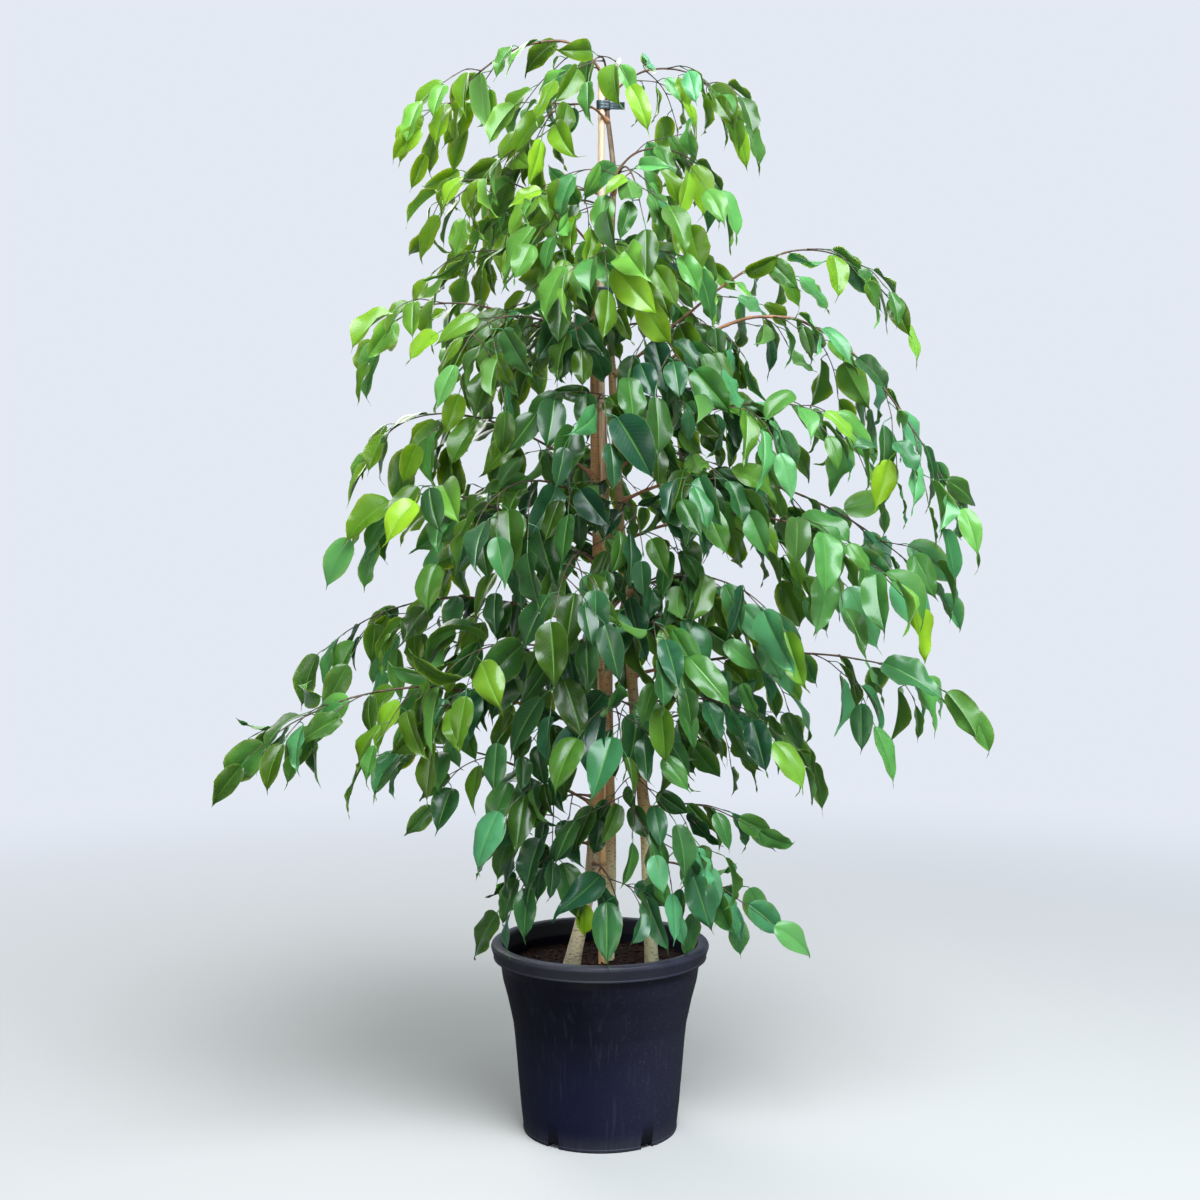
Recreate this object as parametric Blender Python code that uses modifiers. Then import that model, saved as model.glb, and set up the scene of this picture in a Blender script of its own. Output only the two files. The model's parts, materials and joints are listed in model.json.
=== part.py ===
"""Potted weeping fig: three staked trunks in a nursery pot, and the arching boughs that they carry.

Metres, +Z up. The origin is the centre of the pot's flat base. Each bough is one closed body, because a bough, its
side twigs and its leaves grow as one piece. The boughs are first grown as lines and blades, each placed in air that
nothing grown before it fills, and are then given their skins.
"""

import itertools
import math
import random

import bmesh
import bpy
from mathutils import Matrix, Vector
from mathutils.bvhtree import BVHTree

GAP = 0.0003
UP = Vector((0, 0, 1))

# The pot, a nominal 300 mm nursery pot.
POT_HEIGHT = 0.280
RIM_RADIUS = 0.1636
RIM_FOOT_RADIUS = 0.1590
RIM_BAND = 0.024
BASE_RADIUS = 0.115
WALL = 0.0025
FLOOR = 0.004
SKIRT = 0.0030
LIP_ROUND = 0.0040
POT_STEPS = 40
NOTCHES = 5
NOTCH_WIDTH = 0.020
NOTCH_HEIGHT = 0.007
NOTCH_DEPTH = 0.012
NOTCH_TURN = 18

# The pot's outer side, from the foot of its taper over a soft swell to its shoulder: radius and height.
POT_SIDE = [
    (0.1150, 0.005),
    (0.1190, 0.040),
    (0.1270, 0.133),
    (0.1300, 0.160),
    (0.1380, 0.197),
    (0.1455, 0.225),
    (0.1480, 0.242),
]
SHOULDER_RADIUS = 0.148

# The potting mix.
SOIL_TOP = 0.243
SOIL_CROWN = 0.004

# The stake leans a little: its foot and its head.
STAKE_FOOT = Vector((0.004, 0, 0.030))
STAKE_HEAD = Vector((0.001, 0, 1.568))
STAKE_RADII = (0.0070, 0.0053)

# Each trunk's line, from its buried end to its top: x, y, z and radius.
TRUNKS = {
    "trunk_left": [
        (-0.047, -0.012, 0.130, 0.0125),
        (-0.043, -0.012, 0.235, 0.0120),
        (-0.030, -0.014, 0.300, 0.0101),
        (-0.016, -0.016, 0.360, 0.0095),
        (-0.012, -0.017, 0.400, 0.0092),
        (-0.004, -0.018, 0.500, 0.0090),
        (0.007, -0.018, 0.620, 0.0086),
        (0.006, -0.0165, 0.700, 0.0083),
        (-0.001, -0.0148, 0.800, 0.0078),
        (-0.0075, -0.0110, 1.000, 0.0065),
        (-0.0090, -0.0070, 1.150, 0.0055),
        (-0.0087, -0.0038, 1.250, 0.0045),
        (-0.0110, -0.0030, 1.340, 0.0032),
    ],
    "trunk_right": [
        (0.082, -0.005, 0.140, 0.0105),
        (0.078, -0.005, 0.235, 0.0100),
        (0.073, -0.004, 0.330, 0.0095),
        (0.069, -0.004, 0.440, 0.0090),
        (0.058, -0.003, 0.560, 0.0084),
        (0.047, -0.001, 0.680, 0.0078),
        (0.034, 0.002, 0.840, 0.0070),
        (0.0250, 0.0030, 1.000, 0.0062),
        (0.0170, 0.0030, 1.150, 0.0055),
        (0.0129, 0.0020, 1.250, 0.0051),
        (0.0200, 0.0020, 1.420, 0.0042),
        (0.0103, 0.0012, 1.527, 0.0033),
        (0.0120, 0.0010, 1.560, 0.0027),
    ],
    "trunk_back": [
        (0.010, 0.024, 0.140, 0.0095),
        (0.012, 0.022, 0.235, 0.0090),
        (0.016, 0.020, 0.400, 0.0084),
        (0.012, 0.0175, 0.600, 0.0079),
        (0.0110, 0.0135, 0.800, 0.0072),
        (0.0060, 0.0140, 1.000, 0.0060),
        (0.0000, 0.0125, 1.150, 0.0045),
        (-0.002, 0.0150, 1.200, 0.0032),
    ],
}

# Each tie: its middle height, its band's height, the trunks that it holds to the stake and its tail's heading.
TIES = {
    "tie_lower": (0.800, 0.014, ("trunk_left", "trunk_back"), 200),
    "tie_upper": (1.250, 0.014, ("trunk_left", "trunk_right"), 190),
    "tie_top": (1.527, 0.013, ("trunk_right",), -15),
}
TIE_THICKNESS = 0.0013
TIE_TAIL = 0.022
TAIL_DROOP = 4
TIE_SLACK = 0.0005
TIE_CORNERS = 12

# The boughs that give the crown its outline: trunk, root height, tip, rise at the root and at the tip in degrees,
# how bowed the arch is, number of side twigs and leaf length.
BOUGHS = {
    "bough_top_left": ("trunk_right", 1.550, (-0.252, -0.03, 1.465), 60, -68, 1.2, 5, 0.076),
    "bough_top_left_inner": ("trunk_right", 1.505, (-0.160, -0.05, 1.420), 34, -50, 1.0, 4, 0.076),
    "bough_top_leader": ("trunk_right", 1.560, (-0.015, -0.12, 1.535), 62, -50, 1.0, 2, 0.072),
    "bough_top_right": ("trunk_right", 1.540, (0.200, -0.04, 1.50), 48, -58, 1.1, 4, 0.074),
    "bough_top_right_low": ("trunk_right", 1.430, (0.165, -0.05, 1.40), 55, -60, 1.0, 3, 0.074),
    "bough_top_left_low": ("trunk_left", 1.320, (-0.225, -0.06, 1.39), 52, -30, 0.9, 3, 0.082),
    "bough_top_front": ("trunk_right", 1.400, (0.060, -0.17, 1.32), 45, -60, 1.0, 4, 0.076),
    "bough_top_front_left": ("trunk_right", 1.360, (-0.090, -0.14, 1.30), 35, -50, 0.9, 4, 0.074),
    "bough_upper_left_high": ("trunk_left", 1.235, (-0.240, -0.04, 1.275), 35, -45, 0.9, 2, 0.078),
    "bough_upper_left_arch": ("trunk_left", 1.150, (-0.330, -0.07, 1.150), 35, -65, 1.0, 4, 0.080),
    "bough_upper_left_front": ("trunk_left", 1.160, (-0.190, -0.20, 1.130), 30, -60, 0.9, 4, 0.088),
    "bough_upper_front": ("trunk_left", 1.290, (0.010, -0.20, 1.230), 34, -60, 0.9, 4, 0.082),
    "bough_upper_right_front": ("trunk_right", 1.180, (0.125, -0.18, 1.090), 30, -60, 0.9, 4, 0.084),
    "bough_upper_right": ("trunk_right", 1.290, (0.135, -0.03, 1.270), 35, -60, 0.9, 2, 0.074),
    "bough_right_arch_high": ("trunk_right", 1.130, (0.440, -0.03, 1.215), 38, -55, 1.3, 4, 0.078),
    "bough_right_arch_low": ("trunk_right", 1.080, (0.535, -0.07, 0.90), 45, -62, 1.5, 5, 0.080),
    "bough_right_high": ("trunk_right", 1.020, (0.390, -0.10, 1.000), 28, -55, 0.9, 5, 0.080),
    "bough_right_far": ("trunk_right", 0.940, (0.500, 0.00, 0.810), 28, -45, 0.9, 4, 0.088),
    "bough_right_mid": ("trunk_right", 0.880, (0.420, -0.16, 0.800), 24, -50, 0.9, 5, 0.094),
    "bough_right_centre": ("trunk_right", 0.990, (0.200, -0.12, 0.930), 30, -60, 0.9, 4, 0.084),
    "bough_front_centre": ("trunk_right", 0.920, (0.060, -0.16, 0.860), 30, -60, 0.9, 4, 0.076),
    "bough_right_inner": ("trunk_right", 0.800, (0.250, -0.15, 0.76), 28, -50, 0.9, 3, 0.088),
    "bough_right_low": ("trunk_right", 0.680, (0.530, -0.04, 0.640), 14, -38, 0.8, 3, 0.090),
    "bough_right_low_short": ("trunk_right", 0.630, (0.240, -0.10, 0.600), 24, -50, 0.8, 2, 0.078),
    "bough_pot_right_high": ("trunk_right", 0.480, (0.220, -0.06, 0.460), 22, -30, 0.8, 1, 0.074),
    "bough_pot_right": ("trunk_right", 0.400, (0.240, -0.05, 0.325), 10, -32, 0.7, 1, 0.078),
    "bough_pot_right_inner": ("trunk_right", 0.450, (0.100, -0.13, 0.395), 24, -55, 0.8, 1, 0.078),
    "bough_pot_front": ("trunk_left", 0.400, (0.030, -0.150, 0.345), 15, -55, 0.8, 1, 0.080),
    "bough_pot_left_high": ("trunk_left", 0.500, (-0.110, -0.10, 0.450), 24, -60, 0.8, 2, 0.080),
    "bough_pot_left": ("trunk_left", 0.430, (-0.120, -0.12, 0.365), 18, -62, 0.8, 2, 0.088),
    "bough_left_long": ("trunk_left", 0.590, (-0.480, -0.20, 0.580), 28, -42, 0.9, 5, 0.086),
    "bough_left_low": ("trunk_left", 0.490, (-0.320, -0.12, 0.570), 30, -20, 0.8, 3, 0.080),
    "bough_left_low_front": ("trunk_left", 0.690, (-0.215, -0.19, 0.690), 28, -45, 0.8, 4, 0.094),
    "bough_left_mid_low": ("trunk_left", 0.740, (-0.405, -0.02, 0.720), 28, -42, 0.9, 4, 0.082),
    "bough_left_mid": ("trunk_left", 0.850, (-0.345, -0.10, 0.895), 32, -55, 0.9, 4, 0.082),
    "bough_left_mid_high": ("trunk_left", 0.980, (-0.330, -0.05, 1.010), 36, -60, 0.9, 4, 0.084),
    "bough_left_mid_front": ("trunk_left", 0.930, (-0.170, -0.22, 0.890), 30, -60, 0.9, 3, 0.088),
    "bough_front_high": ("trunk_left", 1.060, (0.010, -0.23, 1.020), 30, -60, 0.9, 3, 0.088),
    "bough_front_mid": ("trunk_left", 0.840, (-0.060, -0.24, 0.780), 28, -60, 0.9, 3, 0.084),
    "bough_front_low": ("trunk_left", 0.640, (0.030, -0.20, 0.590), 25, -60, 0.9, 4, 0.088),
    "bough_front_right": ("trunk_right", 0.740, (0.110, -0.22, 0.690), 25, -60, 0.9, 3, 0.084),
    "bough_front_right_low": ("trunk_right", 0.530, (0.045, -0.17, 0.470), 24, -60, 0.9, 3, 0.080),
}

# The boughs of the back follow a rule: they climb the trunks in even steps and turn by the golden angle.
BACK_BOUGHS = 9
BACK_LOW = 0.52
BACK_HIGH = 1.44
BACK_FIRST_TURN = 25
BACK_SWEEP = 130
GOLDEN_SHARE = 0.618
BACK_LEAF = 0.080
CROWN_REACH = [(0.50, 0.30), (0.62, 0.38), (0.85, 0.38), (1.10, 0.34), (1.30, 0.25), (1.45, 0.18)]

# How wood and leaves are spaced and sized.
INTERNODE = 0.034
TWIG_INTERNODE = 0.028
BARE_SHARE = 0.16
BARE_SHARE_PER_NODE = 0.012
BOUGH_RADIUS = 0.0016
BOUGH_RADIUS_PER_METRE = 0.0032
TWIG_RADIUS = 0.0011
TIP_RADIUS = 0.0008
PRISM_SHARE = 1.30
PETIOLE = 0.015
PETIOLE_RADIUS = 0.0008
LEAF_WIDTH_SHARE = 0.49
LEAF_WIDEST = 0.45
LEAF_THICKNESS = 0.0012
LEAF_FOLD = 0.18
LEAF_TRIES = 30
LEAF_FULL_TRIES = 18
LEAF_SHRINK = 0.82
LEAF_SCATTER = 0.12
LEAF_SCATTER_STEP = 0.022
FACE_SCATTER = 0.38
LEAF_ARCH = 0.12
TWIG_TRIES = 14
TWIG_SCATTER = 0.10
TWIG_SCATTER_STEP = 0.04
TWIG_SWAY = 0.06
TWIG_NODES = 5
TWIG_LEAF_SHARE = 0.97
WOOD_CLEARANCE = 0.0012
LEAF_CLEARANCE = 0.0009
CROWN_TOP = 1.612
LIGHT = Vector((0, -0.70, 0.45))
ROOT_LIFTS = (0, 0.012, -0.012, 0.024, -0.024, 0.036, -0.036, 0.050, -0.050, 0.065, -0.065)
ROOT_SWINGS = (0, 18, -18, 36, -36, 54, -54, 72, -72, 95, -95)
BLADE_STATIONS = (0.0, 0.12, 0.30, 0.50, 0.70, 0.86, 1.0)
CELL = 0.10
NODE_STEP = 0.0035
HINGE_RADIUS = 0.0011
ROOT_LEAN = 0.8

# Curved solids: how far apart a trunk's rings stand, and how many rings the stake has.
TRUNK_STEP = 0.080
STAKE_RINGS = 4
BEVEL_RESOLUTION = 2

# Each finish: colour, roughness.
FINISHES = {
    "pot": ((0.012, 0.013, 0.020), 0.42),
    "soil": ((0.055, 0.026, 0.018), 0.95),
    "bamboo": ((0.42, 0.22, 0.09), 0.45),
    "strap": ((0.020, 0.040, 0.050), 0.40),
    "bark": ((0.33, 0.22, 0.12), 0.75),
    "leaf": ((0.035, 0.16, 0.035), 0.35),
}


def mix(a, b, share):
    return a + (b - a) * share


def slope(heading, rise):
    """The unit vector at a heading and a rise, both in radians."""
    level = math.cos(rise)
    return Vector((level * math.cos(heading), level * math.sin(heading), math.sin(rise)))


def scatter(rng, spread):
    return Vector((rng.gauss(0, spread), rng.gauss(0, spread), rng.gauss(0, spread)))


def outward(point):
    """The level direction from the stake to a point."""
    away = Vector((point.x, point.y, 0))
    return away.normalized() if away.length > 1e-6 else Vector((0, -1, 0))


def trunk_at(name, z):
    """Centre and radius of a trunk at a height, on a smooth line through its rows."""
    rows = TRUNKS[name]
    k = max(i for i in range(len(rows) - 1) if rows[i][2] <= z or i == 0)
    before, a, b, after = (rows[min(max(i, 0), len(rows) - 1)] for i in (k - 1, k, k + 1, k + 2))
    u = min(max((z - a[2]) / (b[2] - a[2]), 0.0), 1.0)
    values = []
    for j in (0, 1, 3):
        rate_a = (b[j] - before[j]) / (b[2] - before[2])
        rate_b = (after[j] - a[j]) / (after[2] - a[2])
        span = b[2] - a[2]
        h = (2 * u**3 - 3 * u**2 + 1, u**3 - 2 * u**2 + u, -2 * u**3 + 3 * u**2, u**3 - u**2)
        values.append(h[0] * a[j] + h[1] * span * rate_a + h[2] * b[j] + h[3] * span * rate_b)
    return Vector((values[0], values[1], z)), values[2]


def stake_at(z):
    share = (z - STAKE_FOOT.z) / (STAKE_HEAD.z - STAKE_FOOT.z)
    return STAKE_FOOT.lerp(STAKE_HEAD, share), mix(*STAKE_RADII, share)


def ring(centre, along, radius, lead=None):
    """Three corners round a centre, counter-clockwise as seen from ahead."""
    along = along.normalized()
    side = (lead or UP).cross(along)
    if side.length < 0.05:
        side = Vector((1, 0, 0)).cross(along)
    side.normalize()
    return [centre + Matrix.Rotation(math.radians(a), 3, along) @ side * radius for a in (0, 120, 240)]


def prism(a, b, radius_a, radius_b):
    """The side faces of a three-sided stretch of wood."""
    points = ring(a, b - a, radius_a) + ring(b, b - a, radius_b)
    faces = []
    for k in range(3):
        m = (k + 1) % 3
        faces += [(k, m, m + 3), (k, m + 3, k + 3)]
    return points, faces


class Air:
    """Everything grown so far, kept by grid cell, so that what grows next finds free air."""

    def __init__(self):
        self.cells = {}

    @staticmethod
    def bounds(points):
        low = [min(p[k] for p in points) for k in range(3)]
        high = [max(p[k] for p in points) for k in range(3)]
        return low, high

    @staticmethod
    def touched(low, high):
        spans = [range(math.floor(a / CELL), math.floor(b / CELL) + 1) for a, b in zip(low, high)]
        return itertools.product(*spans)

    def fill(self, owner, points, faces):
        low, high = self.bounds(points)
        item = (owner, low, high, BVHTree.FromPolygons(points, faces))
        for cell in self.touched(low, high):
            self.cells.setdefault(cell, []).append(item)

    def free(self, points, faces, skip=()):
        low, high = self.bounds(points)
        shape = BVHTree.FromPolygons(points, faces)
        for cell in self.touched(low, high):
            for owner, a, b, other in self.cells.get(cell, ()):
                if owner in skip or any(a[k] > high[k] or b[k] < low[k] for k in range(3)):
                    continue
                if shape.overlap(other):
                    return False
        return True


class Wood:
    """A bough's axis or a side twig: its line, its radii, and what grows at each of its nodes."""

    def __init__(self, points, base_radius, tip_radius):
        last = len(points) - 1
        self.points = points
        self.radii = [mix(base_radius, tip_radius, k / last) for k in range(last + 1)]
        self.children = []

    def along(self, k):
        ahead = min(k + 1, len(self.points) - 1)
        return (self.points[ahead] - self.points[max(k - 1, 0)]).normalized()

    def stretches(self, margin=0.0):
        for k in range(len(self.points) - 1):
            radii = [r * PRISM_SHARE + margin for r in self.radii[k : k + 2]]
            yield prism(self.points[k], self.points[k + 1], *radii)

    def fits(self, air, skip=(), root_skip=()):
        """Whether the wood clears everything but skip, and its first stretch everything but root_skip as well."""
        for k, stretch in enumerate(self.stretches(margin=WOOD_CLEARANCE)):
            if not air.free(*stretch, tuple(skip) + (tuple(root_skip) if k == 0 else ())):
                return False
        return True

    def settle(self, air):
        for stretch in self.stretches():
            air.fill(id(self), *stretch)


class Leaf:
    """One leaf: where its stalk leaves the wood, where its blade begins, and how the blade lies."""

    def __init__(self, foot, hinge, forward, face, length, width, bend):
        self.foot = foot
        self.hinge = hinge
        self.forward = forward.normalized()
        self.normal = (face - face.dot(self.forward) * self.forward).normalized()
        self.side = self.normal.cross(self.forward)
        self.length = length
        self.width = width
        self.bend = bend

    def midrib(self, t):
        """The midrib's point and its upper normal at a share of the blade's length: an arc that bows down."""
        turn = self.bend * t
        reach = self.length / self.bend
        point = self.hinge + reach * (self.forward * math.sin(turn) - self.normal * (1 - math.cos(turn)))
        return point, self.normal * math.cos(turn) + self.forward * math.sin(turn)

    def half_width(self, t):
        """An egg-shaped outline that draws out into a drip tip."""
        if t < 0.42:
            body = math.sqrt(max(0.0, 1 - (1 - t / 0.42) ** 2.2)) ** 0.95
        else:
            body = max(0.0, 1 - (min((t - 0.42) / 0.46, 1.0)) ** 1.8) ** 1.05
        tail = 0.22 * (1 - t) ** 0.8
        return 0.5 * self.width * (body if t < 0.42 else math.hypot(body, tail) / math.hypot(1, 0.142))

    def solid(self, margin=0.0):
        """The plain solid blade: its stalk's end, its widest section and its tip."""
        middle, normal = self.midrib(LEAF_WIDEST)
        tip = self.midrib(1.0)[0]
        half = 0.5 * self.width + margin
        points = [self.hinge, tip + margin * self.forward]
        points += [middle - self.side * half, middle + self.side * half]
        points += [middle - normal * (LEAF_THICKNESS + margin), middle + normal * (0.0003 + margin)]
        faces = []
        for a, b in ((2, 4), (4, 3), (3, 5), (5, 2)):
            faces += [(0, a, b), (1, b, a)]
        return points, faces

    def blade(self, scale=1.0):
        """The curved blade as a thin sheet, folded along its midrib."""
        points, faces = [], []
        for t in BLADE_STATIONS:
            middle, normal = self.midrib(t)
            half = self.half_width(t) * scale + 0.0004
            lift = normal * half * LEAF_FOLD
            points += [middle - self.side * half + lift, middle, middle + self.side * half + lift]
        for k in range(len(BLADE_STATIONS) - 1):
            for j in (0, 1):
                a = 3 * k + j
                faces += [(a, a + 1, a + 4), (a, a + 4, a + 3)]
        return points, faces

    def fits(self, air, parent):
        stalk = prism(self.foot, self.hinge, NODE_STEP, PETIOLE_RADIUS * 2)
        return (
            air.free(*self.solid(margin=LEAF_CLEARANCE))
            and air.free(*self.blade(scale=1.03))
            and air.free(*stalk, skip=(parent,))
        )

    def settle(self, air):
        air.fill(id(self), *self.solid())
        air.fill(id(self), *self.blade())
        air.fill(id(self), *prism(self.foot, self.hinge, PETIOLE_RADIUS, PETIOLE_RADIUS))


def arch_points(root, tip, rise_root, rise_tip, bow, turn):
    """Evenly spaced points on a bough's arch. turn swings its start away from the straight way to its tip."""
    flat = Vector((tip.x - root.x, tip.y - root.y, 0))
    heading = math.atan2(flat.y, flat.x)
    handle = 0.42 * (tip - root).length * bow
    start = slope(heading + turn, math.radians(rise_root)) * handle
    end = slope(heading, math.radians(rise_tip)) * handle
    corners = [root, root + start, tip - end, tip]
    fine = []
    for k in range(101):
        t = k / 100
        weights = ((1 - t) ** 3, 3 * t * (1 - t) ** 2, 3 * t * t * (1 - t), t**3)
        fine.append(sum((c * w for c, w in zip(corners, weights)), Vector()))
    return spaced(fine, INTERNODE)


def spaced(line, step):
    """A line cut into equal steps, each as near to step as makes the last one end at its tip."""
    lengths = [(b - a).length for a, b in zip(line, line[1:])]
    total = sum(lengths)
    count = max(3, round(total / step))
    points = [line[0]]
    walked, k = 0.0, 0
    for i in range(1, count):
        target = total * i / count
        while walked + lengths[k] < target:
            walked += lengths[k]
            k += 1
        points.append(line[k].lerp(line[k + 1], (target - walked) / lengths[k]))
    return points + [line[-1]]


def bough_axis(rng, air, trunk, height, tip, rises, bow):
    """The first way that a bough finds past its neighbours, swinging its start and then its root a little."""
    ends_trunk = height >= TRUNKS[trunk][-1][2]
    for lift, swing in itertools.product(ROOT_LIFTS, ROOT_SWINGS):
        centre, radius = trunk_at(trunk, height if ends_trunk else height + lift)
        nudged = tip + scatter(rng, abs(lift) * 0.4)
        way = outward(nudged - centre)
        way.rotate(Matrix.Rotation(math.radians(swing), 3, "Z"))
        root = centre + (UP * 0.002 if ends_trunk else way * (radius + 0.0015))
        points = arch_points(root, nudged, rises[0], rises[1], bow, math.radians(swing))
        length = sum((b - a).length for a, b in zip(points, points[1:]))
        wood = Wood(points, BOUGH_RADIUS + BOUGH_RADIUS_PER_METRE * length, TIP_RADIUS)
        if ends_trunk:
            wood.radii[0] = radius * 0.85
        if wood.fits(air, root_skip=(trunk,)):
            return wood
    return None


def twig(rng, air, parent, k, hand, nodes):
    """A side twig that leaves its parent at a node and weeps towards the ground."""
    along = parent.along(k)
    side = along.cross(UP).normalized() * hand
    for attempt in range(TWIG_TRIES):
        spread = TWIG_SCATTER + TWIG_SCATTER_STEP * attempt
        start = parent.points[k]
        lift = UP * rng.uniform(-0.30, 0.45)
        heading = (along * 0.75 + side * 0.75 + lift + scatter(rng, spread)).normalized()
        points = [start]
        for _ in range(nodes):
            heading = (heading - UP * rng.uniform(0.08, 0.42) + scatter(rng, TWIG_SWAY)).normalized()
            points.append(points[-1] + heading * TWIG_INTERNODE)
        wood = Wood(points, TWIG_RADIUS, TIP_RADIUS)
        if max(p.z for p in points) < CROWN_TOP - 0.01 and wood.fits(air, skip=(id(parent),)):
            return wood
    return None


def leaf_at(rng, air, wood, k, hand, length):
    """A leaf at a node. hand is -1 or 1 for the two sides of the wood, and 0 for the leaf at its end."""
    along = wood.along(k)
    side = along.cross(UP)
    side = side.normalized() * hand if side.length > 0.05 else Vector((hand, 0, 0))
    foot = wood.points[k]
    out = outward(foot)
    for attempt in range(LEAF_TRIES):
        spread = LEAF_SCATTER + LEAF_SCATTER_STEP * attempt
        size = length * (1 if attempt < LEAF_FULL_TRIES else LEAF_SHRINK)
        stalk = (along * (0.5 if hand else 1.3) + side * 0.75 + UP * 0.1 + scatter(rng, spread)).normalized()
        hinge = foot + stalk * PETIOLE * rng.uniform(0.85, 1.25) - UP * 0.0025
        lean = along * 0.48 + side * 0.36 + out * 0.22
        forward = (lean - UP * rng.uniform(0.20, 0.95) + scatter(rng, spread)).normalized()
        light = LIGHT if out.y < 0.3 else UP * 0.5
        face = out * 0.55 + light + scatter(rng, FACE_SCATTER + spread)
        bend = LEAF_ARCH + forward.angle(-UP) * rng.uniform(0.45, 1.0)
        width = size * LEAF_WIDTH_SHARE * rng.uniform(0.86, 1.12)
        leaf = Leaf(foot, hinge, forward, face, size, width, bend)
        if max(leaf.midrib(t)[0].z for t in (0, 0.3)) < CROWN_TOP and leaf.fits(air, id(wood)):
            return leaf
    return None


def dress(rng, air, wood, first, leaf_length, twigs=0):
    """Puts side twigs on a wood's nodes from first on, then leaves on every node that is left and at the end."""
    nodes = list(range(first, len(wood.points) - 1))
    last = len(wood.points) - 1
    hands = {k: 1 if (k - first) % 2 else -1 for k in nodes}
    branching = set()
    for j in range(min(twigs, len(nodes))):
        branching.add(nodes[int((j + 0.25) * len(nodes) / (twigs + 0.35))])
    grown = []
    for k in sorted(branching):
        nodes_left = last - k
        shoot = twig(rng, air, wood, k, hands[k], min(TWIG_NODES, 2 + nodes_left // 2))
        if shoot:
            shoot.settle(air)
            wood.children.append((k, shoot))
            grown.append(shoot)
    for k in nodes + [last]:
        hand = hands.get(k, 0)
        if k in branching:
            hand = -hand
        size = leaf_length * rng.uniform(0.70, 1.12) * (0.90 if k == last else 1)
        leaf = leaf_at(rng, air, wood, k, hand, size)
        if leaf:
            leaf.settle(air)
            wood.children.append((k, leaf))
    for shoot in grown:
        dress(rng, air, shoot, 1, leaf_length * TWIG_LEAF_SHARE)


def back_boughs():
    """The rows of the boughs that fill the back of the crown."""
    rows = {}
    for k in range(BACK_BOUGHS):
        height = mix(BACK_LOW, BACK_HIGH, (k + 0.5) / BACK_BOUGHS)
        heading = math.radians(BACK_FIRST_TURN + BACK_SWEEP * ((k * GOLDEN_SHARE) % 1))
        reach = crown_reach(height) * (0.92 if k % 2 else 1.06)
        tip = (reach * math.cos(heading), reach * math.sin(heading), height - 0.03)
        trunk = "trunk_right" if height > TRUNKS["trunk_back"][-1][2] - 0.05 else "trunk_back"
        rows[f"bough_back_{k + 1:02d}"] = (trunk, height, tip, 32, -52, 0.85, 3, BACK_LEAF)
    return rows


def crown_reach(height):
    rows = CROWN_REACH
    if height <= rows[0][0]:
        return rows[0][1]
    for (za, ra), (zb, rb) in zip(rows, rows[1:]):
        if height <= zb:
            return mix(ra, rb, (height - za) / (zb - za))
    return rows[-1][1]


def pot_side():
    """The pot's outer side from the foot of its taper to its rim, as radius and height."""
    return POT_SIDE + [(SHOULDER_RADIUS, POT_HEIGHT - RIM_BAND)]


def pot_inside(inset=0.0):
    """The pot's inner side from its floor up, moved inwards by inset."""
    side = [(r - WALL - inset, z) for r, z in pot_side()]
    return [(side[0][0], FLOOR + inset)] + side[1:]


def fill_fixed(air):
    """What the boughs grow round: the trunks, the stake, the ties, the pot and the soil."""
    for name, rows in TRUNKS.items():
        heights = [mix(0.22, rows[-1][2], k / 40) for k in range(41)]
        for low, high in zip(heights, heights[1:]):
            (a, ra), (b, rb) = trunk_at(name, low), trunk_at(name, high)
            air.fill(name, *tube_faces(a, b, ra, rb))
    for k in range(30):
        (a, ra), (b, rb) = stake_at(mix(0.22, STAKE_HEAD.z, k / 30)), stake_at(mix(0.22, STAKE_HEAD.z, (k + 1) / 30))
        air.fill("stake", *tube_faces(a, b, ra, rb))
    for name, (height, band, trunks, turn) in TIES.items():
        around = tie_loop(height, band, trunks, TIE_THICKNESS + 0.001)
        points = [p + UP * (s * band * 0.5) for s in (-1, 1) for p in around]
        n = len(around)
        faces = []
        for i in range(n):
            j = (i + 1) % n
            faces += [(i, j, j + n), (i, j + n, i + n)]
        air.fill(name, points, faces)
        knot, heading = tie_knot(around, turn)
        air.fill(name, *tube_faces(knot, knot + heading * TIE_TAIL, band * 0.4, band * 0.4, sides=4))
    walls = pot_side() + [(RIM_RADIUS, POT_HEIGHT - RIM_BAND), (RIM_RADIUS, POT_HEIGHT)]
    walls += [(SHOULDER_RADIUS, POT_HEIGHT), (SHOULDER_RADIUS - 0.004, 0.22), (0.128, 0.16), (0.0, 0.16)]
    air.fill("pot", *turned_faces(walls, 32))
    air.fill("soil", *turned_faces([(0.145, SOIL_TOP), (0.08, SOIL_TOP + SOIL_CROWN), (0, SOIL_TOP + SOIL_CROWN)], 24))


def tube_faces(a, b, radius_a, radius_b, sides=10):
    along = (b - a).normalized()
    side = along.orthogonal().normalized()
    points = []
    for centre, radius in ((a, radius_a), (b, radius_b)):
        for k in range(sides):
            points.append(centre + Matrix.Rotation(math.tau * k / sides, 3, along) @ side * radius)
    faces = []
    for k in range(sides):
        m = (k + 1) % sides
        faces += [(k, m, m + sides), (k, m + sides, k + sides)]
    return points, faces


def turned_faces(profile, sides):
    points = []
    for r, z in profile:
        for k in range(sides):
            turn = math.tau * k / sides
            points.append(Vector((r * math.cos(turn), r * math.sin(turn), z)))
    faces = []
    for row in range(len(profile) - 1):
        for k in range(sides):
            m = (k + 1) % sides
            a, b, c, d = row * sides + k, row * sides + m, (row + 1) * sides + m, (row + 1) * sides + k
            faces += [(a, b, c), (a, c, d)]
    return points, faces


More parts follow.
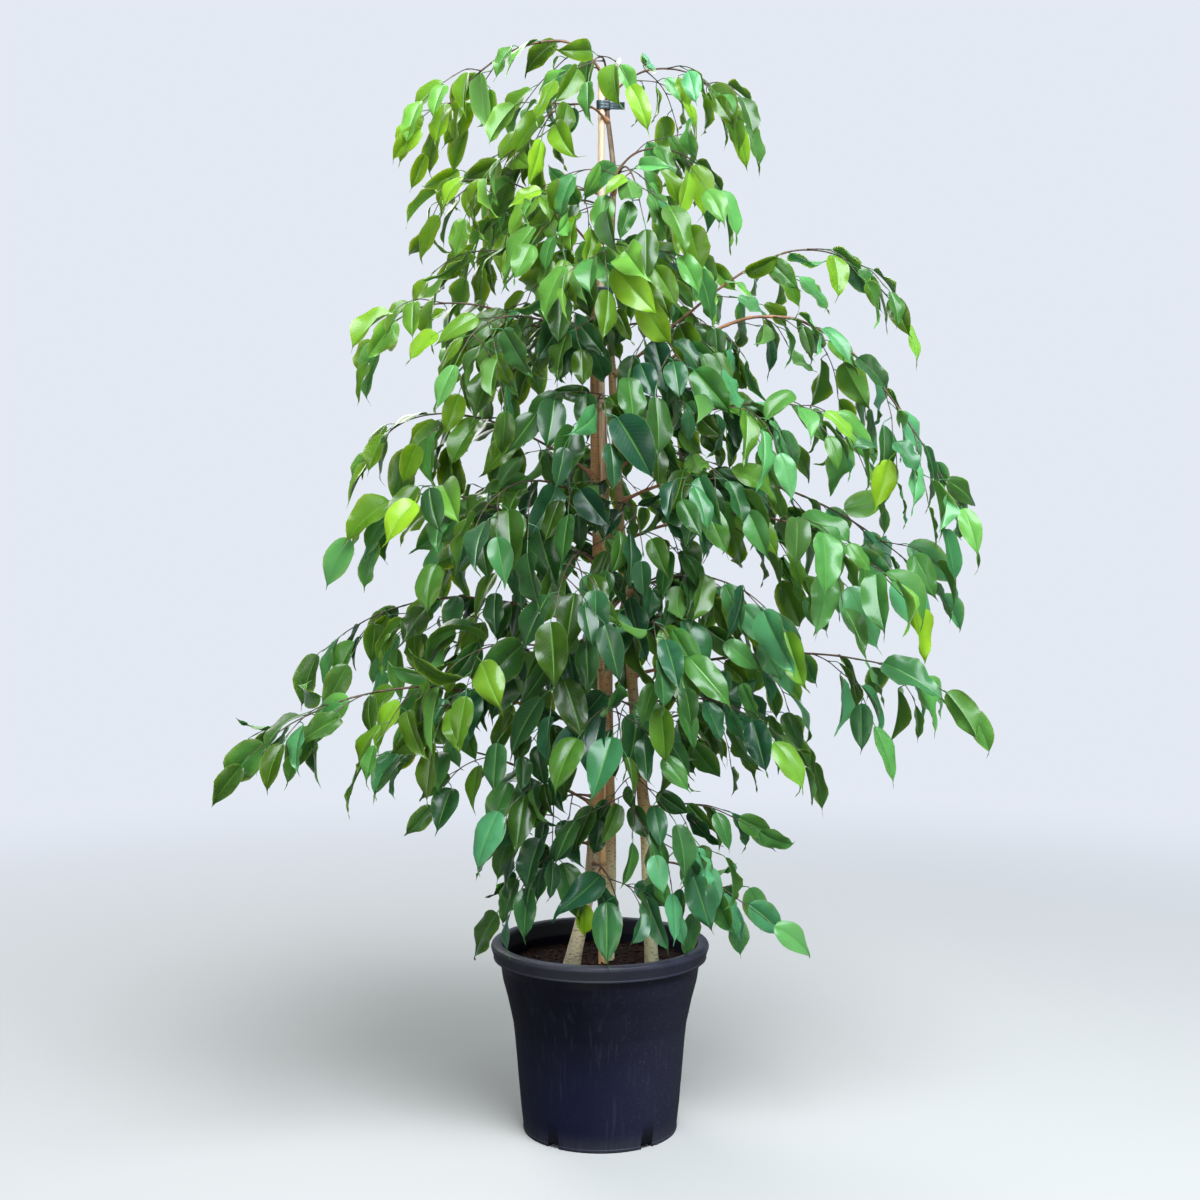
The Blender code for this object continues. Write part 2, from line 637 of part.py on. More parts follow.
def tie_loop(height, band, trunks, offset):
    """The outline of a taut band round the stake and its trunks, offset from their surfaces."""
    cloud = []
    for z in (height - band / 2, height + band / 2):
        for centre, radius in [stake_at(z)] + [trunk_at(name, z) for name in trunks]:
            reach = (radius + offset) / math.cos(math.pi / TIE_CORNERS)
            for k in range(TIE_CORNERS):
                turn = math.tau * k / TIE_CORNERS
                cloud.append((centre.x + reach * math.cos(turn), centre.y + reach * math.sin(turn)))
    cloud.sort()
    chains = []
    for points in (cloud, cloud[::-1]):
        chain = []
        for p in points:
            while len(chain) > 1 and turn_of(chain[-2], chain[-1], p) <= 1e-9:
                chain.pop()
            chain.append(p)
        chains += chain[:-1]
    return [Vector((x, y, height)) for x, y in chains]


def tie_knot(around, turn):
    """Where a strap's tail leaves its loop, and the tail's heading."""
    heading = slope(math.radians(turn), 0)
    return max(around, key=lambda p: p.dot(heading)), heading


def turn_of(a, b, c):
    return (b[0] - a[0]) * (c[1] - a[1]) - (b[1] - a[1]) * (c[0] - a[0])


def grow():
    """Every bough by name, as wood that carries twigs and leaves."""
    air = Air()
    fill_fixed(air)
    rows = dict(BOUGHS)
    rows.update(back_boughs())
    axes = {}
    for name, (trunk, height, tip, rise_root, rise_tip, bow, _, _) in rows.items():
        rng = random.Random(name)
        wood = bough_axis(rng, air, trunk, height, Vector(tip), (rise_root, rise_tip), bow)
        if wood is None:
            raise ValueError(f"{name} finds no free way")
        wood.settle(air)
        axes[name] = wood
    for name, row in rows.items():
        wood = axes[name]
        nodes = len(wood.points) - 1
        first = max(2, round((BARE_SHARE + BARE_SHARE_PER_NODE * nodes) * nodes))
        dress(random.Random(name + " leaves"), air, wood, first, row[7], row[6])
    return {name: (rows[name][0], wood) for name, wood in axes.items()}


class Skin:
    """The closed surface of a bough, lofted from ring to ring."""

    def __init__(self):
        self.points = []
        self.faces = []

    def add(self, corners):
        first = len(self.points)
        self.points += corners
        return list(range(first, first + len(corners)))

    def matched(self, start, end):
        """The end ring's corners, turned so that each is nearest to its partner of the start ring."""

        def stretch(shift):
            return sum((self.points[start[k]] - self.points[end[(k + shift) % 3]]).length for k in range(3))

        shift = min(range(3), key=stretch)
        return end[shift:] + end[:shift]

    def loft(self, start, end, buds=()):
        """Side faces between two rings. Each bud takes one side, and its own base ring is given back."""
        end = self.matched(start, end)
        bases = []
        taken = set()
        for bud in buds:
            side = min((k for k in range(3) if k not in taken), key=lambda k: -self.side_normal(start, end, k).dot(bud))
            taken.add(side)
            bases.append(self.open_side(start, end, side))
        for k in range(3):
            if k not in taken:
                a, b, c, d = start[k], start[(k + 1) % 3], end[(k + 1) % 3], end[k]
                self.faces += [(a, b, c), (a, c, d)]
        return end, bases

    def side_normal(self, start, end, k):
        a, b, c = (self.points[i] for i in (start[k], start[(k + 1) % 3], end[k]))
        return (b - a).cross(c - a).normalized()

    def open_side(self, start, end, k):
        """Skins one side round a small triangle at its start, and gives that triangle back unskinned."""
        a, b, c, d = start[k], start[(k + 1) % 3], end[(k + 1) % 3], end[k]
        low = (self.points[a] + self.points[b]) / 2
        high = (self.points[c] + self.points[d]) / 2
        (bud,) = self.add([low + (high - low).normalized() * NODE_STEP])
        self.faces += [(b, c, bud), (c, d, bud), (d, a, bud)]
        return [a, b, bud]

    def close(self, ring_corners, apex):
        """Draws a ring in to a point."""
        (tip,) = self.add([apex])
        for k in range(3):
            self.faces.append((ring_corners[k], ring_corners[(k + 1) % 3], tip))


def wood_rings(wood, first):
    """Three corners at each of a wood's points from first on."""
    return [ring(wood.points[k], wood.along(k), wood.radii[k] * PRISM_SHARE) for k in range(first, len(wood.points))]


def skin_wood(skin, wood, base):
    """Skins a wood from its base ring, which stands for its first point, with all that grows on it."""
    start = base
    for k, corners in enumerate(wood_rings(wood, 1)):
        growing = [child for node, child in wood.children if node == k]
        buds = [start_way(child) for child in growing]
        start, bases = skin.loft(start, skin.add(corners), buds)
        for child, child_base in zip(growing, bases):
            skin_child(skin, child, child_base)
    ending = [child for node, child in wood.children if node == len(wood.points) - 1]
    if ending:
        skin_child(skin, ending[0], start)
    else:
        skin.close(start, wood.points[-1] + wood.along(len(wood.points) - 1) * TIP_RADIUS)


def start_way(child):
    if isinstance(child, Leaf):
        return (child.hinge - child.foot).normalized()
    return (child.points[1] - child.points[0]).normalized()


def skin_child(skin, child, base):
    if isinstance(child, Leaf):
        skin_leaf(skin, child, base)
    else:
        skin_wood(skin, child, base)


def skin_leaf(skin, leaf, base):
    """Skins a leaf from its stalk's base: to the hinge, over the widest section, and in to the tip."""
    lean = (start_way(leaf) + leaf.forward).normalized()
    across = (leaf.side - leaf.side.dot(lean) * lean).normalized() * HINGE_RADIUS
    under = across.cross(lean)
    hinge = skin.add([leaf.hinge + across, leaf.hinge - across, leaf.hinge + under])
    start, _ = skin.loft(base, hinge)
    middle, normal = leaf.midrib(LEAF_WIDEST)
    reach = leaf.side * leaf.width / 2
    widest = skin.add([middle + reach, middle - reach, middle - normal * LEAF_THICKNESS])
    start, _ = skin.loft(start, widest)
    skin.close(start, leaf.midrib(1.0)[0])


def seated(corners, way, host):
    """A bough's base ring, slid along its way until it all but touches its trunk."""
    a, b, c = corners
    samples = [a * u / 4 + b * v / 4 + c * (4 - u - v) / 4 for u in range(5) for v in range(5 - u)]
    room = []
    for point in samples:
        struck, _, _, distance = host.ray_cast(point + way * 0.02, -way)
        if struck:
            room.append(distance - 0.02)
    shift = min(room) - GAP
    return [p - way * shift for p in corners]


def root_ring(wood, trunk, host):
    """Where a bough's skin starts: a ring that leans towards its trunk, just clear of it."""
    root = wood.points[0]
    centre, _ = trunk_at(trunk, root.z)
    top = TRUNKS[trunk][-1][2]
    way = UP if root.z > top else (root - centre).normalized()
    along = (wood.along(0) + way * ROOT_LEAN).normalized()
    corners = ring(root, along, wood.radii[0] * PRISM_SHARE)
    return seated(corners, way, host)


def mesh_object(name, points, faces, collection):
    mesh = bpy.data.meshes.new(name)
    mesh.from_pydata(points, [], faces)
    mesh.update()
    made = bpy.data.objects.new(name, mesh)
    collection.objects.link(made)
    return made


def finish(made, kind):
    """Gives an object its own Principled material."""
    colour, roughness = FINISHES[kind]
    material = bpy.data.materials.new(f"{made.name}_{kind}")
    material.use_nodes = True
    shader = next(n for n in material.node_tree.nodes if n.type == "BSDF_PRINCIPLED")
    shader.inputs["Base Color"].default_value = (*colour, 1)
    shader.inputs["Roughness"].default_value = roughness
    shader.inputs["Metallic"].default_value = 0
    material.diffuse_color = (*colour, 1)
    made.data.materials.append(material)


def smooth(made, degrees=40):
    made.data.shade_smooth()
    made.data.set_sharp_from_angle(angle=math.radians(degrees))


def boolean(made, other, operation):
    modifier = made.modifiers.new(f"{operation.lower()} {other.name}", "BOOLEAN")
    modifier.operation = operation
    modifier.solver = "EXACT"
    modifier.object = other


def turned(name, profile, collection):
    """A solid turned round the Z axis from a profile of radius and height, listed as Screw needs it."""
    made = mesh_object(name, [(r, 0, z) for r, z in profile], [], collection)
    edges = bmesh.new()
    edges.from_mesh(made.data)
    edges.verts.ensure_lookup_table()
    for a, b in zip(edges.verts[:-1], edges.verts[1:]):
        edges.edges.new((a, b))
    edges.to_mesh(made.data)
    edges.free()
    screw = made.modifiers.new("turn", "SCREW")
    screw.steps = screw.render_steps = POT_STEPS
    screw.use_merge_vertices = True
    screw.merge_threshold = 0.0001
    screw.use_smooth_shade = False
    return made


def baked(made):
    """Turns a modelled or curved object into a plain mesh object of the same name and place."""
    graph = bpy.context.evaluated_depsgraph_get()
    mesh = bpy.data.meshes.new_from_object(made.evaluated_get(graph))
    name, collections = made.name, list(made.users_collection)
    bpy.data.objects.remove(made)
    shape = bmesh.new()
    shape.from_mesh(mesh)
    bmesh.ops.remove_doubles(shape, verts=shape.verts, dist=1e-6)
    bmesh.ops.recalc_face_normals(shape, faces=shape.faces)
    shape.to_mesh(mesh)
    shape.free()
    plain = bpy.data.objects.new(name, mesh)
    mesh.name = name
    for collection in collections:
        collection.objects.link(plain)
    return plain


def rod(name, centres, radii, collection):
    """A round rod along a line of centres, with a radius at each."""
    curve = bpy.data.curves.new(name, "CURVE")
    curve.dimensions = "3D"
    curve.bevel_depth = 1.0
    curve.bevel_resolution = BEVEL_RESOLUTION
    curve.use_fill_caps = True
    spline = curve.splines.new("POLY")
    spline.points.add(len(centres) - 1)
    for point, centre, radius in zip(spline.points, centres, radii):
        point.co = (*centre, 1)
        point.radius = radius
    made = bpy.data.objects.new(name, curve)
    collection.objects.link(made)
    return baked(made)


def socketed(name, centres, radii, parts, cutters):
    """A rod, and the slightly larger cutter that makes its socket in the potting mix."""
    down = (centres[0] - centres[1]).normalized() * GAP
    rod_made = rod(name, centres, radii, parts)
    cutter = rod(f"{name}_socket", [centres[0] + down] + centres[1:], [r + GAP for r in radii], cutters)
    return rod_made, cutter


def make_trunk(name, parts, cutters):
    levels = [row[2] for row in TRUNKS[name]]
    heights = [levels[0]]
    for low, high in zip(levels, levels[1:]):
        count = math.ceil((high - low) / TRUNK_STEP)
        heights += [mix(low, high, k / count) for k in range(1, count + 1)]
    line = [trunk_at(name, z) for z in heights]
    return socketed(name, [c for c, _ in line], [r for _, r in line], parts, cutters)


def make_stake(parts, cutters):
    line = [stake_at(mix(STAKE_FOOT.z, STAKE_HEAD.z, k / STAKE_RINGS)) for k in range(STAKE_RINGS + 1)]
    return socketed("bamboo_stake", [c for c, _ in line], [r for _, r in line], parts, cutters)


def make_pot(parts, cutters):
    """The pot: a thin wall with a floor, a rim whose skirt hangs clear of the wall, and notches in its foot."""
    skirt_foot = POT_HEIGHT - RIM_BAND
    inside = [(0, FLOOR)] + pot_inside()
    lip_inner = SHOULDER_RADIUS - WALL
    lip = [
        (lip_inner, POT_HEIGHT - LIP_ROUND),
        (lip_inner + LIP_ROUND, POT_HEIGHT),
        (RIM_RADIUS - LIP_ROUND, POT_HEIGHT),
        (RIM_RADIUS, POT_HEIGHT - LIP_ROUND),
        (RIM_FOOT_RADIUS, skirt_foot),
        (RIM_FOOT_RADIUS - SKIRT, skirt_foot),
        (RIM_FOOT_RADIUS - SKIRT, POT_HEIGHT - LIP_ROUND),
        (SHOULDER_RADIUS, POT_HEIGHT - LIP_ROUND),
    ]
    outside = pot_side()[::-1] + [(BASE_RADIUS - 0.001, 0.0), (0, 0)]
    pot = turned("pot", inside[:-1] + lip + outside, parts)
    for k in range(NOTCHES):
        turn = math.radians(NOTCH_TURN + k * 360 / NOTCHES)
        bpy.ops.mesh.primitive_cube_add(size=1)
        cutter = bpy.context.object
        cutter.name = f"pot_notch_{k + 1}"
        cutter.scale = (NOTCH_DEPTH * 2, NOTCH_WIDTH, NOTCH_HEIGHT * 2)
        cutter.rotation_euler.z = turn
        cutter.location = (BASE_RADIUS * math.cos(turn), BASE_RADIUS * math.sin(turn), 0)
        move_to(cutter, cutters)
        boolean(pot, cutter, "DIFFERENCE")
    return pot


def move_to(made, collection):
    for other in list(made.users_collection):
        other.objects.unlink(made)
    collection.objects.link(made)


def make_soil(sockets, parts):
    """The potting mix, slightly crowned, with a socket for each trunk and for the stake."""
    side = [p for p in pot_inside(GAP) if p[1] < SOIL_TOP]
    surface = [(0, SOIL_TOP + SOIL_CROWN), (0.080, SOIL_TOP + SOIL_CROWN * 0.8), (side[-1][0], SOIL_TOP)]
    soil = turned("soil", surface + side[::-1] + [(0, FLOOR + GAP)], parts)
    for socket in sockets:
        boolean(soil, socket, "DIFFERENCE")
    return soil


def make_tie(name, parts, cutters):
    """A flat strap pulled taut round the stake and its trunks, with a short tail."""
    height, band, trunks, turn = TIES[name]
    around = tie_loop(height, band, trunks, TIE_SLACK)
    count = len(around)
    points = [p + UP * (s * band / 2) for s in (-1, 1) for p in around]
    faces = [(i, (i + 1) % count, (i + 1) % count + count, i + count) for i in range(count)]
    tie = mesh_object(name, points, faces, parts)
    wall = tie.modifiers.new("thickness", "SOLIDIFY")
    wall.thickness = TIE_THICKNESS
    wall.offset = 1
    wall.use_even_offset = True
    knot, heading = tie_knot(around, turn)
    bpy.ops.mesh.primitive_cube_add(size=1)
    tail = bpy.context.object
    tail.name = f"{name}_tail"
    tail.scale = (TIE_TAIL, TIE_THICKNESS, band * 0.8)
    tail.rotation_euler = (0, math.radians(TAIL_DROOP), math.radians(turn))
    tail.location = knot + heading * (TIE_TAIL / 2 + TIE_THICKNESS * 0.5)
    move_to(tail, cutters)
    boolean(tie, tail, "UNION")
    return tie


def make_bough(name, trunk, wood, hosts, parts):
    skin = Skin()
    base = skin.add(root_ring(wood, trunk, hosts[trunk]))
    skin.faces.append(tuple(reversed(base)))
    skin_wood(skin, wood, base)
    return mesh_object(name, skin.points, skin.faces, parts)


def main():
    for old in list(bpy.data.objects):
        bpy.data.objects.remove(old)
    parts = bpy.data.collections.new("potted_weeping_fig")
    cutters = bpy.data.collections.new("cutters")
    bpy.context.scene.collection.children.link(parts)
    bpy.context.scene.collection.children.link(cutters)
    finishes = []
    hosts, sockets = {}, []
    for name in TRUNKS:
        trunk, socket = make_trunk(name, parts, cutters)
        hosts[name] = BVHTree.FromPolygons(
            [v.co.copy() for v in trunk.data.vertices], [tuple(f.vertices) for f in trunk.data.polygons]
        )
        sockets.append(socket)
        finishes.append((trunk, "bark"))
    stake, socket = make_stake(parts, cutters)
    finishes.append((stake, "bamboo"))
    finishes.append((make_pot(parts, cutters), "pot"))
    finishes.append((make_soil(sockets + [socket], parts), "soil"))
    finishes += [(make_tie(name, parts, cutters), "strap") for name in TIES]
    for name, (trunk, wood) in grow().items():
        finishes.append((make_bough(name, trunk, wood, hosts, parts), "leaf"))
    for made, kind in finishes:
        finish(made, kind)
        smooth(made)
    for cutter in cutters.objects:
        cutter.hide_render = True
        cutter.display_type = "WIRE"


if __name__ == "__main__":
    main()
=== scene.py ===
"""Looks of the potted weeping fig: fine leaves, twigs, bark, cane, ties, mix and pot over the solids.

Metres, +Z up, in the frame's own axes. The crown is grown by the same rules and random draws as the solids,
so that every leaf and twig of theirs has a fine one in its place. Each bough is two pieces, wood and leaves.
"""

import itertools
import json
import math
import random

import bpy
import numpy as np
from mathutils import Matrix, Vector, noise
from mathutils.bvhtree import BVHTree

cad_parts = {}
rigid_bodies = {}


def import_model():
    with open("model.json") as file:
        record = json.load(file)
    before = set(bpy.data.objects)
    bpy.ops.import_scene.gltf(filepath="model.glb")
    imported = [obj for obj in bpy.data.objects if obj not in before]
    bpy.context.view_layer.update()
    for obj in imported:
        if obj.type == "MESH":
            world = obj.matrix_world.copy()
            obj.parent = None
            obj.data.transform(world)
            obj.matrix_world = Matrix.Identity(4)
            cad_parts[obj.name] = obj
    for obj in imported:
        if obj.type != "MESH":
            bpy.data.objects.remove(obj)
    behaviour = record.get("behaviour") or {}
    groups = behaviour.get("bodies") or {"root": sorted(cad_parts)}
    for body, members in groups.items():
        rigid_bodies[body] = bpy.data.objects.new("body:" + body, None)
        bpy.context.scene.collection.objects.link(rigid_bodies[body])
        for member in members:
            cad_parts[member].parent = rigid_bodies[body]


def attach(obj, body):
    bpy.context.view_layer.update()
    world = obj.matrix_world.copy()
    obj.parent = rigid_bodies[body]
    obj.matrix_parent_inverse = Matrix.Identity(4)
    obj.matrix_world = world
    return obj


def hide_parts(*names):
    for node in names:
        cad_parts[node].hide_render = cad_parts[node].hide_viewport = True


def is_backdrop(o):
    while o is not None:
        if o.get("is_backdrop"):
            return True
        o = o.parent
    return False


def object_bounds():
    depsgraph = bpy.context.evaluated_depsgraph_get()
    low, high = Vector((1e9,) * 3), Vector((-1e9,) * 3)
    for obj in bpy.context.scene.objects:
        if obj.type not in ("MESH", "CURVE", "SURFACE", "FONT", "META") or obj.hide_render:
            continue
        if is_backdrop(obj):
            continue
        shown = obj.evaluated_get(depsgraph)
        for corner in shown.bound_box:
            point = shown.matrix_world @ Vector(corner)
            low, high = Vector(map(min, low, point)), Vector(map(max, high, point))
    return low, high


GAP = 0.0003
UP = Vector((0, 0, 1))

# The pot, a nominal 300 mm nursery pot.
POT_HEIGHT = 0.280
RIM_RADIUS = 0.1636
RIM_FOOT_RADIUS = 0.1590
RIM_BAND = 0.024
BASE_RADIUS = 0.115
WALL = 0.0025
FLOOR = 0.004
SKIRT = 0.0030
LIP_ROUND = 0.0040
NOTCHES = 5
NOTCH_WIDTH = 0.020
NOTCH_HEIGHT = 0.007
NOTCH_TURN = 18

# The pot's outer side, from the foot of its taper over a soft swell to its shoulder: radius and height.
POT_SIDE = [
    (0.1150, 0.005),
    (0.1190, 0.040),
    (0.1270, 0.133),
    (0.1300, 0.160),
    (0.1380, 0.197),
    (0.1455, 0.225),
    (0.1480, 0.242),
]
SHOULDER_RADIUS = 0.148

# The potting mix.
SOIL_TOP = 0.243
SOIL_CROWN = 0.004

# The stake leans a little: its foot and its head.
STAKE_FOOT = Vector((0.004, 0, 0.030))
STAKE_HEAD = Vector((0.001, 0, 1.568))
STAKE_RADII = (0.0070, 0.0053)

# Each trunk's line, from its buried end to its top: x, y, z and radius.
TRUNKS = {
    "trunk_left": [
        (-0.047, -0.012, 0.130, 0.0125),
        (-0.043, -0.012, 0.235, 0.0120),
        (-0.030, -0.014, 0.300, 0.0101),
        (-0.016, -0.016, 0.360, 0.0095),
        (-0.012, -0.017, 0.400, 0.0092),
        (-0.004, -0.018, 0.500, 0.0090),
        (0.007, -0.018, 0.620, 0.0086),
        (0.006, -0.0165, 0.700, 0.0083),
        (-0.001, -0.0148, 0.800, 0.0078),
        (-0.0075, -0.0110, 1.000, 0.0065),
        (-0.0090, -0.0070, 1.150, 0.0055),
        (-0.0087, -0.0038, 1.250, 0.0045),
        (-0.0110, -0.0030, 1.340, 0.0032),
    ],
    "trunk_right": [
        (0.082, -0.005, 0.140, 0.0105),
        (0.078, -0.005, 0.235, 0.0100),
        (0.073, -0.004, 0.330, 0.0095),
        (0.069, -0.004, 0.440, 0.0090),
        (0.058, -0.003, 0.560, 0.0084),
        (0.047, -0.001, 0.680, 0.0078),
        (0.034, 0.002, 0.840, 0.0070),
        (0.0250, 0.0030, 1.000, 0.0062),
        (0.0170, 0.0030, 1.150, 0.0055),
        (0.0129, 0.0020, 1.250, 0.0051),
        (0.0200, 0.0020, 1.420, 0.0042),
        (0.0103, 0.0012, 1.527, 0.0033),
        (0.0120, 0.0010, 1.560, 0.0027),
    ],
    "trunk_back": [
        (0.010, 0.024, 0.140, 0.0095),
        (0.012, 0.022, 0.235, 0.0090),
        (0.016, 0.020, 0.400, 0.0084),
        (0.012, 0.0175, 0.600, 0.0079),
        (0.0110, 0.0135, 0.800, 0.0072),
        (0.0060, 0.0140, 1.000, 0.0060),
        (0.0000, 0.0125, 1.150, 0.0045),
        (-0.002, 0.0150, 1.200, 0.0032),
    ],
}

# Each tie: its height, its band's height, the trunks that it holds to the stake and its tail's heading.
TIES = {
    "tie_lower": (0.800, 0.014, ("trunk_left", "trunk_back"), 200),
    "tie_upper": (1.250, 0.014, ("trunk_left", "trunk_right"), 190),
    "tie_top": (1.527, 0.013, ("trunk_right",), -15),
}
TIE_THICKNESS = 0.0013
TIE_TAIL = 0.022
TIE_SLACK = 0.0005
TIE_CORNERS = 12

# The boughs that give the crown its outline, named without their common start. Each has its trunk, root
# height, tip, rise at root and tip in degrees, how bowed its arch is, number of side twigs and leaf length.
BOUGHS = {
    "top_left": ("trunk_right", 1.550, (-0.252, -0.03, 1.465), 60, -68, 1.2, 5, 0.076),
    "top_left_inner": ("trunk_right", 1.505, (-0.160, -0.05, 1.420), 34, -50, 1.0, 4, 0.076),
    "top_leader": ("trunk_right", 1.560, (-0.015, -0.12, 1.535), 62, -50, 1.0, 2, 0.072),
    "top_right": ("trunk_right", 1.540, (0.200, -0.04, 1.50), 48, -58, 1.1, 4, 0.074),
    "top_right_low": ("trunk_right", 1.430, (0.165, -0.05, 1.40), 55, -60, 1.0, 3, 0.074),
    "top_left_low": ("trunk_left", 1.320, (-0.225, -0.06, 1.39), 52, -30, 0.9, 3, 0.082),
    "top_front": ("trunk_right", 1.400, (0.060, -0.17, 1.32), 45, -60, 1.0, 4, 0.076),
    "top_front_left": ("trunk_right", 1.360, (-0.090, -0.14, 1.30), 35, -50, 0.9, 4, 0.074),
    "upper_left_high": ("trunk_left", 1.235, (-0.240, -0.04, 1.275), 35, -45, 0.9, 2, 0.078),
    "upper_left_arch": ("trunk_left", 1.150, (-0.330, -0.07, 1.150), 35, -65, 1.0, 4, 0.080),
    "upper_left_front": ("trunk_left", 1.160, (-0.190, -0.20, 1.130), 30, -60, 0.9, 4, 0.088),
    "upper_front": ("trunk_left", 1.290, (0.010, -0.20, 1.230), 34, -60, 0.9, 4, 0.082),
    "upper_right_front": ("trunk_right", 1.180, (0.125, -0.18, 1.090), 30, -60, 0.9, 4, 0.084),
    "upper_right": ("trunk_right", 1.290, (0.135, -0.03, 1.270), 35, -60, 0.9, 2, 0.074),
    "right_arch_high": ("trunk_right", 1.130, (0.440, -0.03, 1.215), 38, -55, 1.3, 4, 0.078),
    "right_arch_low": ("trunk_right", 1.080, (0.535, -0.07, 0.90), 45, -62, 1.5, 5, 0.080),
    "right_high": ("trunk_right", 1.020, (0.390, -0.10, 1.000), 28, -55, 0.9, 5, 0.080),
    "right_far": ("trunk_right", 0.940, (0.500, 0.00, 0.810), 28, -45, 0.9, 4, 0.088),
    "right_mid": ("trunk_right", 0.880, (0.420, -0.16, 0.800), 24, -50, 0.9, 5, 0.094),
    "right_centre": ("trunk_right", 0.990, (0.200, -0.12, 0.930), 30, -60, 0.9, 4, 0.084),
    "front_centre": ("trunk_right", 0.920, (0.060, -0.16, 0.860), 30, -60, 0.9, 4, 0.076),
    "right_inner": ("trunk_right", 0.800, (0.250, -0.15, 0.76), 28, -50, 0.9, 3, 0.088),
    "right_low": ("trunk_right", 0.680, (0.530, -0.04, 0.640), 14, -38, 0.8, 3, 0.090),
    "right_low_short": ("trunk_right", 0.630, (0.240, -0.10, 0.600), 24, -50, 0.8, 2, 0.078),
    "pot_right_high": ("trunk_right", 0.480, (0.220, -0.06, 0.460), 22, -30, 0.8, 1, 0.074),
    "pot_right": ("trunk_right", 0.400, (0.240, -0.05, 0.325), 10, -32, 0.7, 1, 0.078),
    "pot_right_inner": ("trunk_right", 0.450, (0.100, -0.13, 0.395), 24, -55, 0.8, 1, 0.078),
    "pot_front": ("trunk_left", 0.400, (0.030, -0.150, 0.345), 15, -55, 0.8, 1, 0.080),
    "pot_left_high": ("trunk_left", 0.500, (-0.110, -0.10, 0.450), 24, -60, 0.8, 2, 0.080),
    "pot_left": ("trunk_left", 0.430, (-0.120, -0.12, 0.365), 18, -62, 0.8, 2, 0.088),
    "left_long": ("trunk_left", 0.590, (-0.480, -0.20, 0.580), 28, -42, 0.9, 5, 0.086),
    "left_low": ("trunk_left", 0.490, (-0.320, -0.12, 0.570), 30, -20, 0.8, 3, 0.080),
    "left_low_front": ("trunk_left", 0.690, (-0.215, -0.19, 0.690), 28, -45, 0.8, 4, 0.094),
    "left_mid_low": ("trunk_left", 0.740, (-0.405, -0.02, 0.720), 28, -42, 0.9, 4, 0.082),
    "left_mid": ("trunk_left", 0.850, (-0.345, -0.10, 0.895), 32, -55, 0.9, 4, 0.082),
    "left_mid_high": ("trunk_left", 0.980, (-0.330, -0.05, 1.010), 36, -60, 0.9, 4, 0.084),
    "left_mid_front": ("trunk_left", 0.930, (-0.170, -0.22, 0.890), 30, -60, 0.9, 3, 0.088),
    "front_high": ("trunk_left", 1.060, (0.010, -0.23, 1.020), 30, -60, 0.9, 3, 0.088),
    "front_mid": ("trunk_left", 0.840, (-0.060, -0.24, 0.780), 28, -60, 0.9, 3, 0.084),
    "front_low": ("trunk_left", 0.640, (0.030, -0.20, 0.590), 25, -60, 0.9, 4, 0.088),
    "front_right": ("trunk_right", 0.740, (0.110, -0.22, 0.690), 25, -60, 0.9, 3, 0.084),
    "front_right_low": ("trunk_right", 0.530, (0.045, -0.17, 0.470), 24, -60, 0.9, 3, 0.080),
}

# The boughs of the back follow a rule: they climb the trunks in even steps and turn by the golden angle.
BACK_BOUGHS = 9
BACK_LOW = 0.52
BACK_HIGH = 1.44
BACK_FIRST_TURN = 25
BACK_SWEEP = 130
GOLDEN_SHARE = 0.618
BACK_LEAF = 0.080
CROWN_REACH = [(0.50, 0.30), (0.62, 0.38), (0.85, 0.38), (1.10, 0.34), (1.30, 0.25), (1.45, 0.18)]

# How wood and leaves are spaced and sized.
INTERNODE = 0.034
TWIG_INTERNODE = 0.028
BARE_SHARE = 0.16
BARE_SHARE_PER_NODE = 0.012
BOUGH_RADIUS = 0.0016
BOUGH_RADIUS_PER_METRE = 0.0032
TWIG_RADIUS = 0.0011
TIP_RADIUS = 0.0008
PRISM_SHARE = 1.30
PETIOLE = 0.015
PETIOLE_RADIUS = 0.0008
# A stalk leans along its shoot at the shoot's end and elsewhere, and to the side, and then drops a little.
STALK_LEAN = (1.3, 0.5)
STALK_SIDE = 0.75
STALK_SPAN = (0.85, 1.25)
STALK_DROP = 0.0025
LEAF_WIDTH_SHARE = 0.49
LEAF_WIDEST = 0.45
LEAF_THICKNESS = 0.0012
LEAF_CREST = 0.0003
BLADE_EDGE = 0.0004
BLADE_ROOM = 1.03
EGG_WIDEST = 0.42
EGG_FALL = 0.46
EGG_TAIL = 0.22
EGG_TAIL_AT_WIDEST = 0.142
LEAF_FOLD = 0.18
LEAF_TRIES = 30
LEAF_FULL_TRIES = 18
LEAF_SHRINK = 0.82
LEAF_SCATTER = 0.12
LEAF_SCATTER_STEP = 0.022
FACE_SCATTER = 0.38
LEAF_ARCH = 0.12
LEAF_DROOP = (0.20, 0.95)
LEAF_BOW = (0.45, 1.0)
LEAF_BREADTH = (0.86, 1.12)
LEAF_SIZES = (0.70, 1.12)
END_LEAF = 0.90
TWIG_TRIES = 14
TWIG_SCATTER = 0.10
TWIG_SCATTER_STEP = 0.04
TWIG_SWAY = 0.06
TWIG_FORK = 0.75
TWIG_LIFT = (-0.30, 0.45)
TWIG_WEEP = (0.08, 0.42)
TWIG_NODES = 5
TWIG_LEAF_SHARE = 0.97
WOOD_CLEARANCE = 0.0012
LEAF_CLEARANCE = 0.0009
CROWN_TOP = 1.612
ARCH_PARTS = 100
ARCH_HANDLE = 0.42
TIP_NUDGE = 0.4
BARK_GAP = 0.0015
TRUNK_END_GAP = 0.002
TRUNK_END_TAPER = 0.85
